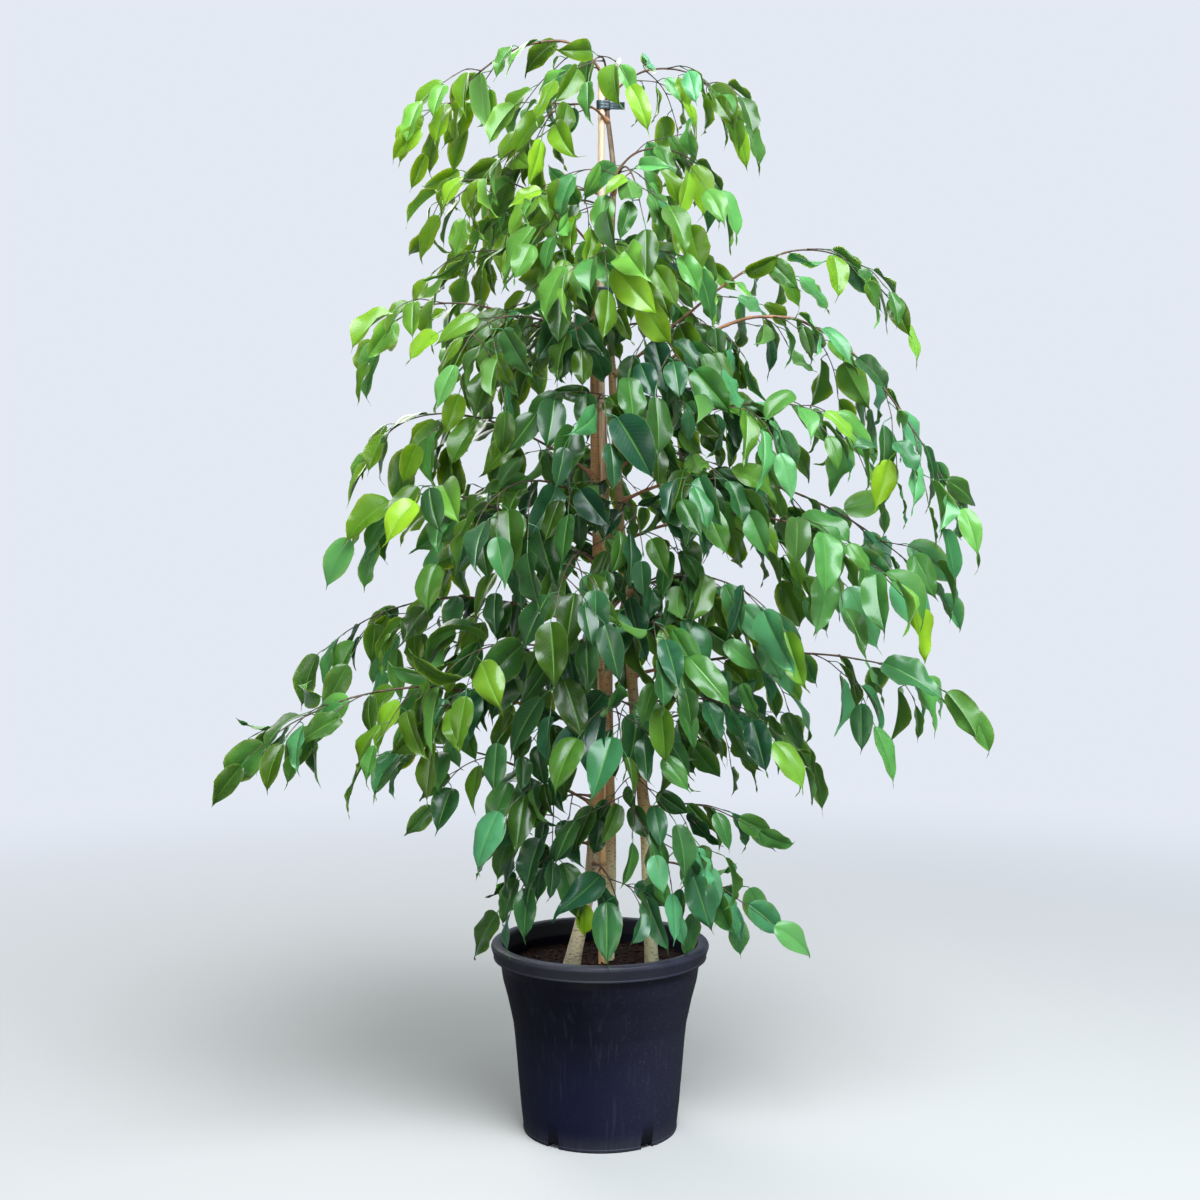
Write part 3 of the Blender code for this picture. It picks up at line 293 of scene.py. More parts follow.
# The stems that the boughs keep clear of start a little under the mix and are cut into short parts.
BURIED = 0.22
TRUNK_PARTS = 40
STAKE_PARTS = 30
LIGHT = Vector((0, -0.70, 0.45))
ROOT_LIFTS = (0, 0.012, -0.012, 0.024, -0.024, 0.036, -0.036, 0.050, -0.050, 0.065, -0.065)
ROOT_SWINGS = (0, 18, -18, 36, -36, 54, -54, 72, -72, 95, -95)
BLADE_STATIONS = (0.0, 0.12, 0.30, 0.50, 0.70, 0.86, 1.0)
CELL = 0.10
NODE_STEP = 0.0035


def mix(a, b, share):
    return a + (b - a) * share


def slope(heading, rise):
    """The unit vector at a heading and a rise, both in radians."""
    level = math.cos(rise)
    return Vector((level * math.cos(heading), level * math.sin(heading), math.sin(rise)))


def scatter(rng, spread):
    return Vector((rng.gauss(0, spread), rng.gauss(0, spread), rng.gauss(0, spread)))


def outward(point):
    """The level direction from the stake to a point."""
    away = Vector((point.x, point.y, 0))
    return away.normalized() if away.length > 1e-6 else Vector((0, -1, 0))


def trunk_at(name, z):
    """Centre and radius of a trunk at a height, on a smooth line through its rows."""
    rows = TRUNKS[name]
    k = max(i for i in range(len(rows) - 1) if rows[i][2] <= z or i == 0)
    before, a, b, after = (rows[min(max(i, 0), len(rows) - 1)] for i in (k - 1, k, k + 1, k + 2))
    u = min(max((z - a[2]) / (b[2] - a[2]), 0.0), 1.0)
    values = []
    for j in (0, 1, 3):
        rate_a = (b[j] - before[j]) / (b[2] - before[2])
        rate_b = (after[j] - a[j]) / (after[2] - a[2])
        span = b[2] - a[2]
        h = (2 * u**3 - 3 * u**2 + 1, u**3 - 2 * u**2 + u, -2 * u**3 + 3 * u**2, u**3 - u**2)
        values.append(h[0] * a[j] + h[1] * span * rate_a + h[2] * b[j] + h[3] * span * rate_b)
    return Vector((values[0], values[1], z)), values[2]


def stake_at(z):
    share = (z - STAKE_FOOT.z) / (STAKE_HEAD.z - STAKE_FOOT.z)
    return STAKE_FOOT.lerp(STAKE_HEAD, share), mix(*STAKE_RADII, share)


def ring(centre, along, radius):
    """Three corners round a centre, counter-clockwise as seen from ahead."""
    along = along.normalized()
    side = UP.cross(along)
    if side.length < 0.05:
        side = Vector((1, 0, 0)).cross(along)
    side.normalize()
    return [centre + Matrix.Rotation(math.radians(a), 3, along) @ side * radius for a in (0, 120, 240)]


def prism(a, b, radius_a, radius_b):
    """The side faces of a three-sided stretch of wood."""
    return ring(a, b - a, radius_a) + ring(b, b - a, radius_b), wall_faces(2, 3)


class Air:
    """Everything grown so far, kept by grid cell, so that what grows next finds free air."""

    def __init__(self):
        self.cells = {}

    @staticmethod
    def bounds(points):
        low = [min(p[k] for p in points) for k in range(3)]
        high = [max(p[k] for p in points) for k in range(3)]
        return low, high

    @staticmethod
    def touched(low, high):
        spans = [range(math.floor(a / CELL), math.floor(b / CELL) + 1) for a, b in zip(low, high)]
        return itertools.product(*spans)

    def fill(self, owner, points, faces):
        low, high = self.bounds(points)
        item = (owner, low, high, BVHTree.FromPolygons(points, faces))
        for cell in self.touched(low, high):
            self.cells.setdefault(cell, []).append(item)

    def free(self, points, faces, skip=()):
        low, high = self.bounds(points)
        shape = BVHTree.FromPolygons(points, faces)
        for cell in self.touched(low, high):
            for owner, a, b, other in self.cells.get(cell, ()):
                if owner in skip or any(a[k] > high[k] or b[k] < low[k] for k in range(3)):
                    continue
                if shape.overlap(other):
                    return False
        return True


class Wood:
    """A bough's axis or a side twig: its line, its radii, and what grows at each of its nodes."""

    def __init__(self, points, base_radius, tip_radius):
        last = len(points) - 1
        self.points = points
        self.radii = [mix(base_radius, tip_radius, k / last) for k in range(last + 1)]
        self.children = []

    def along(self, k):
        ahead = min(k + 1, len(self.points) - 1)
        return (self.points[ahead] - self.points[max(k - 1, 0)]).normalized()

    def stretches(self, margin=0.0):
        for k in range(len(self.points) - 1):
            radii = [r * PRISM_SHARE + margin for r in self.radii[k : k + 2]]
            yield prism(self.points[k], self.points[k + 1], *radii)

    def fits(self, air, skip=(), root_skip=()):
        """Whether the wood clears everything but skip. Its first stretch may touch root_skip as well."""
        for k, stretch in enumerate(self.stretches(margin=WOOD_CLEARANCE)):
            if not air.free(*stretch, tuple(skip) + (tuple(root_skip) if k == 0 else ())):
                return False
        return True

    def settle(self, air):
        for stretch in self.stretches():
            air.fill(id(self), *stretch)


class Leaf:
    """One leaf: where its stalk leaves the wood, where its blade begins, and how the blade lies."""

    def __init__(self, foot, hinge, forward, face, length, width, bend):
        self.foot = foot
        self.hinge = hinge
        self.forward = forward.normalized()
        self.normal = (face - face.dot(self.forward) * self.forward).normalized()
        self.side = self.normal.cross(self.forward)
        self.length = length
        self.width = width
        self.bend = bend

    def midrib(self, t):
        """The midrib's point and upper normal at a share of the blade's length: an arc that bows down."""
        turn = self.bend * t
        reach = self.length / self.bend
        point = self.hinge + reach * (self.forward * math.sin(turn) - self.normal * (1 - math.cos(turn)))
        return point, self.normal * math.cos(turn) + self.forward * math.sin(turn)

    def half_width(self, t):
        """An egg-shaped outline that draws out into a drip tip."""
        if t < EGG_WIDEST:
            body = math.sqrt(max(0.0, 1 - (1 - t / EGG_WIDEST) ** 2.2)) ** 0.95
        else:
            body = max(0.0, 1 - (min((t - EGG_WIDEST) / EGG_FALL, 1.0)) ** 1.8) ** 1.05
            body = math.hypot(body, EGG_TAIL * (1 - t) ** 0.8) / math.hypot(1, EGG_TAIL_AT_WIDEST)
        return 0.5 * self.width * body

    def solid(self, margin=0.0):
        """The plain solid blade: its stalk's end, its widest section and its tip."""
        middle, normal = self.midrib(LEAF_WIDEST)
        tip = self.midrib(1.0)[0]
        half = 0.5 * self.width + margin
        points = [self.hinge, tip + margin * self.forward]
        points += [middle - self.side * half, middle + self.side * half]
        points += [middle - normal * (LEAF_THICKNESS + margin), middle + normal * (LEAF_CREST + margin)]
        faces = []
        for a, b in ((2, 4), (4, 3), (3, 5), (5, 2)):
            faces += [(0, a, b), (1, b, a)]
        return points, faces

    def blade(self, scale=1.0):
        """The curved blade as a thin sheet, folded along its midrib."""
        points, faces = [], []
        for t in BLADE_STATIONS:
            middle, normal = self.midrib(t)
            half = self.half_width(t) * scale + BLADE_EDGE
            lift = normal * half * LEAF_FOLD
            points += [middle - self.side * half + lift, middle, middle + self.side * half + lift]
        for k in range(len(BLADE_STATIONS) - 1):
            for j in (0, 1):
                a = 3 * k + j
                faces += [(a, a + 1, a + 4), (a, a + 4, a + 3)]
        return points, faces

    def fits(self, air, parent):
        stalk = prism(self.foot, self.hinge, NODE_STEP, PETIOLE_RADIUS * 2)
        return (
            air.free(*self.solid(margin=LEAF_CLEARANCE))
            and air.free(*self.blade(scale=BLADE_ROOM))
            and air.free(*stalk, skip=(parent,))
        )

    def settle(self, air):
        air.fill(id(self), *self.solid())
        air.fill(id(self), *self.blade())
        air.fill(id(self), *prism(self.foot, self.hinge, PETIOLE_RADIUS, PETIOLE_RADIUS))


def arch_points(root, tip, rise_root, rise_tip, bow, turn):
    """Evenly spaced points on a bough's arch. turn swings its start off the straight way to its tip."""
    flat = Vector((tip.x - root.x, tip.y - root.y, 0))
    heading = math.atan2(flat.y, flat.x)
    handle = ARCH_HANDLE * (tip - root).length * bow
    start = slope(heading + turn, math.radians(rise_root)) * handle
    end = slope(heading, math.radians(rise_tip)) * handle
    corners = [root, root + start, tip - end, tip]
    fine = []
    for k in range(ARCH_PARTS + 1):
        fine.append(sum((c * w for c, w in zip(corners, cubic(k / ARCH_PARTS))), Vector()))
    return spaced(fine, INTERNODE)


def cubic(t):
    """The weights of a curve's four corners at a share of its way."""
    return (1 - t) ** 3, 3 * t * (1 - t) ** 2, 3 * t * t * (1 - t), t**3


def spaced(line, step):
    """A line cut into equal steps, each as near to step as makes the last one end at its tip."""
    lengths = [(b - a).length for a, b in zip(line, line[1:])]
    total = sum(lengths)
    count = max(3, round(total / step))
    points = [line[0]]
    walked, k = 0.0, 0
    for i in range(1, count):
        target = total * i / count
        while walked + lengths[k] < target:
            walked += lengths[k]
            k += 1
        points.append(line[k].lerp(line[k + 1], (target - walked) / lengths[k]))
    return points + [line[-1]]


def bough_axis(rng, air, trunk, height, tip, rises, bow):
    """The first way that a bough finds past its neighbours, swinging its start and then its root."""
    ends_trunk = height >= TRUNKS[trunk][-1][2]
    for lift, swing in itertools.product(ROOT_LIFTS, ROOT_SWINGS):
        centre, radius = trunk_at(trunk, height if ends_trunk else height + lift)
        nudged = tip + scatter(rng, abs(lift) * TIP_NUDGE)
        way = outward(nudged - centre)
        way.rotate(Matrix.Rotation(math.radians(swing), 3, "Z"))
        root = centre + (UP * TRUNK_END_GAP if ends_trunk else way * (radius + BARK_GAP))
        points = arch_points(root, nudged, rises[0], rises[1], bow, math.radians(swing))
        length = sum((b - a).length for a, b in zip(points, points[1:]))
        wood = Wood(points, BOUGH_RADIUS + BOUGH_RADIUS_PER_METRE * length, TIP_RADIUS)
        if ends_trunk:
            wood.radii[0] = radius * TRUNK_END_TAPER
        if wood.fits(air, root_skip=(trunk,)):
            return wood
    return None


def twig(rng, air, parent, k, hand, nodes):
    """A side twig that leaves its parent at a node and weeps towards the ground."""
    along = parent.along(k)
    side = along.cross(UP).normalized() * hand
    for attempt in range(TWIG_TRIES):
        spread = TWIG_SCATTER + TWIG_SCATTER_STEP * attempt
        start = parent.points[k]
        lift = UP * rng.uniform(*TWIG_LIFT)
        heading = (along * TWIG_FORK + side * TWIG_FORK + lift + scatter(rng, spread)).normalized()
        points = [start]
        for _ in range(nodes):
            heading = (heading - UP * rng.uniform(*TWIG_WEEP) + scatter(rng, TWIG_SWAY)).normalized()
            points.append(points[-1] + heading * TWIG_INTERNODE)
        wood = Wood(points, TWIG_RADIUS, TIP_RADIUS)
        if max(p.z for p in points) < CROWN_TOP - 0.01 and wood.fits(air, skip=(id(parent),)):
            return wood
    return None


def beside(along, hand):
    """The level direction to one side of a shoot, or nothing where hand is 0."""
    side = along.cross(UP)
    return side.normalized() * hand if side.length > 0.05 else Vector((hand, 0, 0))


def leaf_at(rng, air, wood, k, hand, length):
    """A leaf at a node. hand is -1 or 1 for the two sides of the wood, and 0 for the leaf at its end."""
    along = wood.along(k)
    side = beside(along, hand)
    foot = wood.points[k]
    out = outward(foot)
    for attempt in range(LEAF_TRIES):
        spread = LEAF_SCATTER + LEAF_SCATTER_STEP * attempt
        size = length * (1 if attempt < LEAF_FULL_TRIES else LEAF_SHRINK)
        stalk = along * STALK_LEAN[bool(hand)] + side * STALK_SIDE + UP * 0.1 + scatter(rng, spread)
        hinge = foot + stalk.normalized() * PETIOLE * rng.uniform(*STALK_SPAN) - UP * STALK_DROP
        lean = along * 0.48 + side * 0.36 + out * 0.22
        forward = (lean - UP * rng.uniform(*LEAF_DROOP) + scatter(rng, spread)).normalized()
        light = LIGHT if out.y < 0.3 else UP * 0.5
        face = out * 0.55 + light + scatter(rng, FACE_SCATTER + spread)
        bend = LEAF_ARCH + forward.angle(-UP) * rng.uniform(*LEAF_BOW)
        width = size * LEAF_WIDTH_SHARE * rng.uniform(*LEAF_BREADTH)
        leaf = Leaf(foot, hinge, forward, face, size, width, bend)
        if max(leaf.midrib(t)[0].z for t in (0, 0.3)) < CROWN_TOP and leaf.fits(air, id(wood)):
            return leaf
    return None


def dress(rng, air, wood, first, leaf_length, twigs=0):
    """Puts side twigs on some of a wood's nodes from first on, then a leaf on each node and at the end."""
    last = len(wood.points) - 1
    nodes = list(range(first, last))
    hands = {k: 1 if (k - first) % 2 else -1 for k in nodes}
    branching = set()
    for j in range(min(twigs, len(nodes))):
        branching.add(nodes[int((j + 0.25) * len(nodes) / (twigs + 0.35))])
    grown = []
    for k in sorted(branching):
        shoot = twig(rng, air, wood, k, hands[k], min(TWIG_NODES, 2 + (last - k) // 2))
        if shoot:
            shoot.settle(air)
            wood.children.append((k, shoot))
            grown.append(shoot)
    for k in nodes + [last]:
        hand = hands.get(k, 0)
        if k in branching:
            hand = -hand
        size = leaf_length * rng.uniform(*LEAF_SIZES) * (END_LEAF if k == last else 1)
        leaf = leaf_at(rng, air, wood, k, hand, size)
        if leaf:
            leaf.settle(air)
            wood.children.append((k, leaf))
    for shoot in grown:
        dress(rng, air, shoot, 1, leaf_length * TWIG_LEAF_SHARE)


def back_boughs():
    """Rows like those of BOUGHS for the boughs that fill the back of the crown."""
    rows = {}
    for k in range(BACK_BOUGHS):
        height = mix(BACK_LOW, BACK_HIGH, (k + 0.5) / BACK_BOUGHS)
        heading = math.radians(BACK_FIRST_TURN + BACK_SWEEP * ((k * GOLDEN_SHARE) % 1))
        reach = crown_reach(height) * (0.92 if k % 2 else 1.06)
        tip = (reach * math.cos(heading), reach * math.sin(heading), height - 0.03)
        trunk = "trunk_right" if height > TRUNKS["trunk_back"][-1][2] - 0.05 else "trunk_back"
        rows[f"back_{k + 1:02d}"] = (trunk, height, tip, 32, -52, 0.85, 3, BACK_LEAF)
    return rows


def crown_reach(height):
    rows = CROWN_REACH
    if height <= rows[0][0]:
        return rows[0][1]
    for (za, ra), (zb, rb) in zip(rows, rows[1:]):
        if height <= zb:
            return mix(ra, rb, (height - za) / (zb - za))
    return rows[-1][1]


def pot_side():
    """The pot's outer side from the foot of its taper to its rim, as radius and height."""
    return POT_SIDE + [(SHOULDER_RADIUS, POT_HEIGHT - RIM_BAND)]


def pot_inside(inset=0.0):
    """The pot's inner side from its floor up, moved inwards by inset."""
    side = [(r - WALL - inset, z) for r, z in pot_side()]
    return [(side[0][0], FLOOR + inset)] + side[1:]


def fill_fixed(air):
    """What the boughs grow round: the trunks, the stake, the ties, the pot and the soil."""
    for name, rows in TRUNKS.items():
        heights = [mix(BURIED, rows[-1][2], k / TRUNK_PARTS) for k in range(TRUNK_PARTS + 1)]
        for low, high in zip(heights, heights[1:]):
            (a, ra), (b, rb) = trunk_at(name, low), trunk_at(name, high)
            air.fill(name, *tube_faces(a, b, ra, rb))
    heights = [mix(BURIED, STAKE_HEAD.z, k / STAKE_PARTS) for k in range(STAKE_PARTS + 1)]
    for low, high in zip(heights, heights[1:]):
        (a, ra), (b, rb) = stake_at(low), stake_at(high)
        air.fill("stake", *tube_faces(a, b, ra, rb))
    for name, (height, band, trunks, turn) in TIES.items():
        around = tie_loop(height, band, trunks, TIE_THICKNESS + 0.001)
        points = [p + UP * (s * band * 0.5) for s in (-1, 1) for p in around]
        air.fill(name, points, wall_faces(2, len(around)))
        knot, heading = tie_knot(around, turn)
        air.fill(name, *tube_faces(knot, knot + heading * TIE_TAIL, band * 0.4, band * 0.4, sides=4))
    walls = pot_side() + [(RIM_RADIUS, POT_HEIGHT - RIM_BAND), (RIM_RADIUS, POT_HEIGHT)]
    walls += [(SHOULDER_RADIUS, POT_HEIGHT), (SHOULDER_RADIUS - 0.004, 0.22), (0.128, 0.16), (0.0, 0.16)]
    air.fill("pot", *turned_faces(walls, 32))
    crown = SOIL_TOP + SOIL_CROWN
    air.fill("soil", *turned_faces([(0.145, SOIL_TOP), (0.08, crown), (0, crown)], 24))


def tube_faces(a, b, radius_a, radius_b, sides=10):
    along = (b - a).normalized()
    side = along.orthogonal().normalized()
    points = []
    for centre, radius in ((a, radius_a), (b, radius_b)):
        for k in range(sides):
            points.append(centre + Matrix.Rotation(math.tau * k / sides, 3, along) @ side * radius)
    return points, wall_faces(2, sides)


def turned_faces(profile, sides):
    points = []
    for r, z in profile:
        for k in range(sides):
            turn = math.tau * k / sides
            points.append(Vector((r * math.cos(turn), r * math.sin(turn), z)))
    return points, wall_faces(len(profile), sides)


def wall_faces(rows, sides):
    """Triangles between closed rows of points, each row after the one below it."""
    faces = []
    for row in range(0, (rows - 1) * sides, sides):
        for k in range(sides):
            a, b = row + k, row + (k + 1) % sides
            faces += [(a, b, b + sides), (a, b + sides, a + sides)]
    return faces


def tie_loop(height, band, trunks, offset):
    """The outline of a taut band round the stake and its trunks, offset from their surfaces."""
    cloud = []
    for z in (height - band / 2, height + band / 2):
        for centre, radius in [stake_at(z)] + [trunk_at(name, z) for name in trunks]:
            reach = (radius + offset) / math.cos(math.pi / TIE_CORNERS)
            for k in range(TIE_CORNERS):
                turn = math.tau * k / TIE_CORNERS
                cloud.append((centre.x + reach * math.cos(turn), centre.y + reach * math.sin(turn)))
    cloud.sort()
    chains = []
    for points in (cloud, cloud[::-1]):
        chain = []
        for p in points:
            while len(chain) > 1 and turn_of(chain[-2], chain[-1], p) <= 1e-9:
                chain.pop()
            chain.append(p)
        chains += chain[:-1]
    return [Vector((x, y, height)) for x, y in chains]


def tie_knot(around, turn):
    """Where a strap's tail leaves its loop, and the tail's heading."""
    heading = slope(math.radians(turn), 0)
    return max(around, key=lambda p: p.dot(heading)), heading


def turn_of(a, b, c):
    return (b[0] - a[0]) * (c[1] - a[1]) - (b[1] - a[1]) * (c[0] - a[0])


def grow():
    """Every bough by name, as wood that carries twigs and leaves."""
    air = Air()
    fill_fixed(air)
    rows = {f"bough_{place}": row for place, row in (BOUGHS | back_boughs()).items()}
    axes = {}
    for name, (trunk, height, tip, rise_root, rise_tip, bow, _, _) in rows.items():
        rng = random.Random(name)
        wood = bough_axis(rng, air, trunk, height, Vector(tip), (rise_root, rise_tip), bow)
        if wood is None:
            raise ValueError(f"{name} finds no free way")
        wood.settle(air)
        axes[name] = wood
    for name, row in rows.items():
        wood = axes[name]
        nodes = len(wood.points) - 1
        first = max(2, round((BARE_SHARE + BARE_SHARE_PER_NODE * nodes) * nodes))
        dress(random.Random(name + " leaves"), air, wood, first, row[7], row[6])
    return {name: (rows[name][0], wood) for name, wood in axes.items()}


# ---- Meshes ----

# Where a leaf's upper side, underside and stalk lie across its square of the bake's map.
UPPER, UNDER, STALK = 0, 1, 2
CHART_LOW = (0.0, 0.46, 0.92)
CHART_WIDE = (0.46, 0.46, 0.08)
CHART_MARGIN = 0.012


class Mesh:
    """A mesh being gathered: points, faces, and for each point its UV place and its marks."""

    def __init__(self):
        self.points = []
        self.faces = []
        self.places = []
        self.marks = []
        self.charts = []
        self.count = 0

    def add(self, points, faces, places, mark, charts=()):
        """Adds a patch. places has one UV pair per point, and mark is one colour for all or one for each.
        charts says for each face which leaf it belongs to and which part of that leaf it is."""
        points = np.asarray(points, float).reshape(-1, 3)
        self.points.append(points)
        self.places.append(np.asarray(places, float).reshape(-1, 2))
        self.marks.append(np.broadcast_to(np.asarray(mark, float), (len(points), 4)))
        self.faces += [tuple(i + self.count for i in face) for face in faces]
        self.charts += charts
        self.count += len(points)

    def made(self, name, material, degrees=50):
        """The object, which rides on the frame's one body."""
        places = np.concatenate(self.places)
        mesh = bpy.data.meshes.new(name)
        mesh.from_pydata(np.concatenate(self.points).tolist(), [], self.faces)
        mesh.update()
        corners = np.empty(len(mesh.loops), np.int32)
        mesh.loops.foreach_get("vertex_index", corners)
        self.lay(mesh, "Place", places[corners])
        if self.charts:
            self.lay(mesh, "OFBake", self.unrolled(places, corners))
        mark = mesh.attributes.new("mark", "FLOAT_COLOR", "POINT")
        mark.data.foreach_set("color", np.concatenate(self.marks).astype(np.float32).ravel())
        mesh.shade_smooth()
        mesh.set_sharp_from_angle(angle=math.radians(degrees))
        mesh.materials.append(material)
        piece = bpy.data.objects.new(name, mesh)
        bpy.context.scene.collection.objects.link(piece)
        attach(piece, "root")
        return piece

    @staticmethod
    def lay(mesh, name, values):
        mesh.uv_layers.new(name=name).uv.foreach_set("vector", values.astype(np.float32).ravel())

    def unrolled(self, places, corners):
        """Each leaf's faces laid out in its own square: upper side, underside and stalk side by side."""
        sizes = np.array([len(face) for face in self.faces])
        leaf, part = np.array(self.charts).repeat(sizes, axis=0).T
        first = np.repeat(np.cumsum(sizes) - sizes, sizes)
        u, v = places[corners].T
        wraps = np.abs(u - u[first]) > 0.5
        u = np.where(wraps, u + np.sign(u[first] - u), u)
        v = np.where(part == STALK, np.clip(v / (2.2 * PETIOLE), 0, 1), v)
        u = np.clip(np.where(part == STALK, (u + 0.2) / 1.4, u), 0, 1)
        side = math.ceil(math.sqrt(leaf.max() + 1))
        low = np.array(CHART_LOW)[part] + CHART_MARGIN
        wide = np.array(CHART_WIDE)[part] - 2 * CHART_MARGIN
        across = (leaf % side + low + wide * u) / side
        along = (leaf // side + CHART_MARGIN + (1 - 2 * CHART_MARGIN) * v) / side
        return np.stack([across, along], axis=1)


def grid_faces(rows, columns, closed=False):
    """Quads of a grid of points, row by row. closed joins each row's last point to its first."""
    faces = []
    for i in range(rows - 1):
        for j in range(columns if closed else columns - 1):
            m = (j + 1) % columns
            faces.append((i * columns + j, i * columns + m, (i + 1) * columns + m, (i + 1) * columns + j))
    return faces


def caps(rows, columns):
    """The faces that close the first and the last row of a grid."""
    return [tuple(range(columns))[::-1], tuple(range((rows - 1) * columns, rows * columns))]


def eased(x, low, high):
    """Zero below low, one above high, and a smooth rise between."""
    u = np.clip((x - low) / (high - low), 0, 1)
    return u * u * (3 - 2 * u)


def bump_at(x, middle, spread):
    """One at the middle and falling to nothing round it, as a bell does."""
    return np.exp(-(((x - middle) / spread) ** 2))


def unit(vectors):
    return vectors / np.linalg.norm(vectors, axis=-1, keepdims=True)


def turns(sides):
    return np.arange(sides) * (math.tau / sides)


def tube(mesh, centres, radii, sides, mark, chart=None):
    """A round tube along a line, closed at its ends. radii has a number per centre, or a row round each."""
    centres = np.asarray(centres, float)
    count = len(centres)
    ahead = unit(np.gradient(centres, axis=0))
    side = np.cross(ahead[0], (0.0, 0.0, 1.0))
    if np.linalg.norm(side) < 0.1:
        side = np.cross(ahead[0], (0.0, 1.0, 0.0))
    turn = turns(sides)
    radii = np.asarray(radii, float)
    radii = radii[:, None] * np.ones(sides) if radii.ndim == 1 else radii
    points, places = [], []
    length = 0.0
    for k in range(count):
        side = unit(side - side.dot(ahead[k]) * ahead[k])
        up = np.cross(ahead[k], side)
        reach = radii[k][:, None]
        points.append(centres[k] + reach * (np.cos(turn)[:, None] * side + np.sin(turn)[:, None] * up))
        if k:
            length += float(np.linalg.norm(centres[k] - centres[k - 1]))
        places.append(np.stack([turn / math.tau, np.full(sides, length)], axis=1))
    faces = grid_faces(count, sides, closed=True) + caps(count, sides)
    marks = np.broadcast_to(np.asarray(mark, float), (count, 4)).repeat(sides, axis=0)
    charts = [chart] * len(faces) if chart else []
    mesh.add(np.concatenate(points), faces, np.concatenate(places), marks, charts)


def smooth_line(points, parts):
    """A line through all the points with parts steps between each two, bending smoothly."""
    p = [np.array(q, float) for q in points]
    p = [2 * p[0] - p[1]] + p + [2 * p[-1] - p[-2]]
    line = []
    for a, b, c, d in zip(p, p[1:], p[2:], p[3:]):
        bend = 2 * a - 5 * b + 4 * c - d
        turn = d + 3 * (b - c) - a
        line += [b + 0.5 * ((c - a) * t + bend * t**2 + turn * t**3) for t in np.arange(parts) / parts]
    return np.array(line + [p[-2]])


# ---- Leaves ----

# The fine blade: stations along it from stalk to tip, and lines across half of it from midrib to margin.
ALONG = (0.0, 0.025, 0.08, 0.16, 0.26, 0.37, 0.48, 0.59, 0.69, 0.77, 0.83, 0.88, 0.93, 1.0)
ACROSS = (0.0, 0.08, 0.36, 0.70, 1.0)
BLADE_THICKNESS = 0.00030
BLADE_BROADER = 1.05
BLADE_LONGER = 1.16
WIDEST = 0.36
TIP_START = 0.86
TIP_WIDTH = 0.30
TIP_DRAW = 0.85
CURL_START = 0.78
# How one fine blade differs from the next: its twist at the base, along it and at the tip, how uneven its
# halves are, its fold and cup, the height and number of its waves, and its tip's hook and swing.
TWISTS = (0.22, 0.32, 0.6)
UNEVEN = 0.03
FOLDS = (0.28, 0.85)
CUPS = (0.12, 0.50)
WAVE_HEIGHTS = (0.04, 0.16)
WAVE_COUNTS = (1.3, 2.6)
HOOKS = (-0.04, 0.11)
SWINGS = 0.055
RIB_HEIGHT = 0.0007
RIB_SPREAD = 0.06
RIB_SUNK = 0.25
STALK_SIDES = 5
STALK_RINGS = 5
STALK_RADII = (0.0011, 0.00075, 0.00065)
STALK_REACH = 0.0015


def outline(t):
    """A leaf's half width at a share of its length, as a share of the widest: an egg with a drip tip."""
    rising = np.sqrt(np.clip(1 - np.abs(1 - t / WIDEST) ** 2.3, 0, 1))
    falling = np.clip(1 - (np.clip(t - WIDEST, 0, 1) / (TIP_START - WIDEST)) ** 1.9, 0, 1)
    tail = TIP_WIDTH * np.clip(1 - t, 0, 1) ** TIP_DRAW
    at_widest = math.hypot(1, TIP_WIDTH * (1 - WIDEST) ** TIP_DRAW)
    return np.where(t < WIDEST, rising, np.hypot(falling, tail) / at_widest)


def blade_sheet(leaf, rng):
    """The blade's middle sheet: a grid of points and their normals, from margin over midrib to margin."""
    t = np.array(ALONG)[:, None]
    half = np.array(ACROSS)
    s = np.concatenate([-half[:0:-1], half])[None, :]
    forward, normal, side = (np.array(v, float) for v in (leaf.forward, leaf.normal, leaf.side))
    turn = leaf.bend * t
    reach = BLADE_LONGER * leaf.length / leaf.bend
    middle = np.array(leaf.hinge) + reach * (forward * np.sin(turn) - normal * (1 - np.cos(turn)))
    upward = normal * np.cos(turn) + forward * np.sin(turn)
    base, middling, end = (rng.gauss(0, spread) for spread in TWISTS)
    twist = base + middling * t + end * eased(t, 0.7, 1.0)
    across = side * np.cos(twist) + upward * np.sin(twist)
    above = upward * np.cos(twist) - side * np.sin(twist)
    width = 0.5 * BLADE_BROADER * leaf.width * outline(t)
    uneven = 1 + rng.gauss(0, UNEVEN) * np.sign(s)
    fold, cup = rng.uniform(*FOLDS), rng.uniform(*CUPS)
    wave = rng.uniform(*WAVE_HEIGHTS) * leaf.width
    turn = math.tau * rng.uniform(*WAVE_COUNTS) * t + rng.uniform(0, math.tau) + 1.3 * np.sign(s)
    lift = width * (fold * np.abs(s) - cup * s**2)
    lift += wave * s**2 * np.sin(turn) * np.sin(math.pi * t) ** 0.5
    curl = eased(t, CURL_START, 1.0) ** 2
    hook = rng.uniform(*HOOKS) * leaf.length * curl
    swing = rng.gauss(0, SWINGS) * leaf.length * curl
    points = middle[:, None, :] + across[:, None, :] * (width * s * uneven + swing)[..., None]
    points = points + above[:, None, :] * (lift - hook)[..., None]
    normals = np.cross(np.gradient(points, axis=0), np.gradient(points, axis=1))
    normals /= np.linalg.norm(normals, axis=2)[..., None] + 1e-12
    return points, normals, t, s


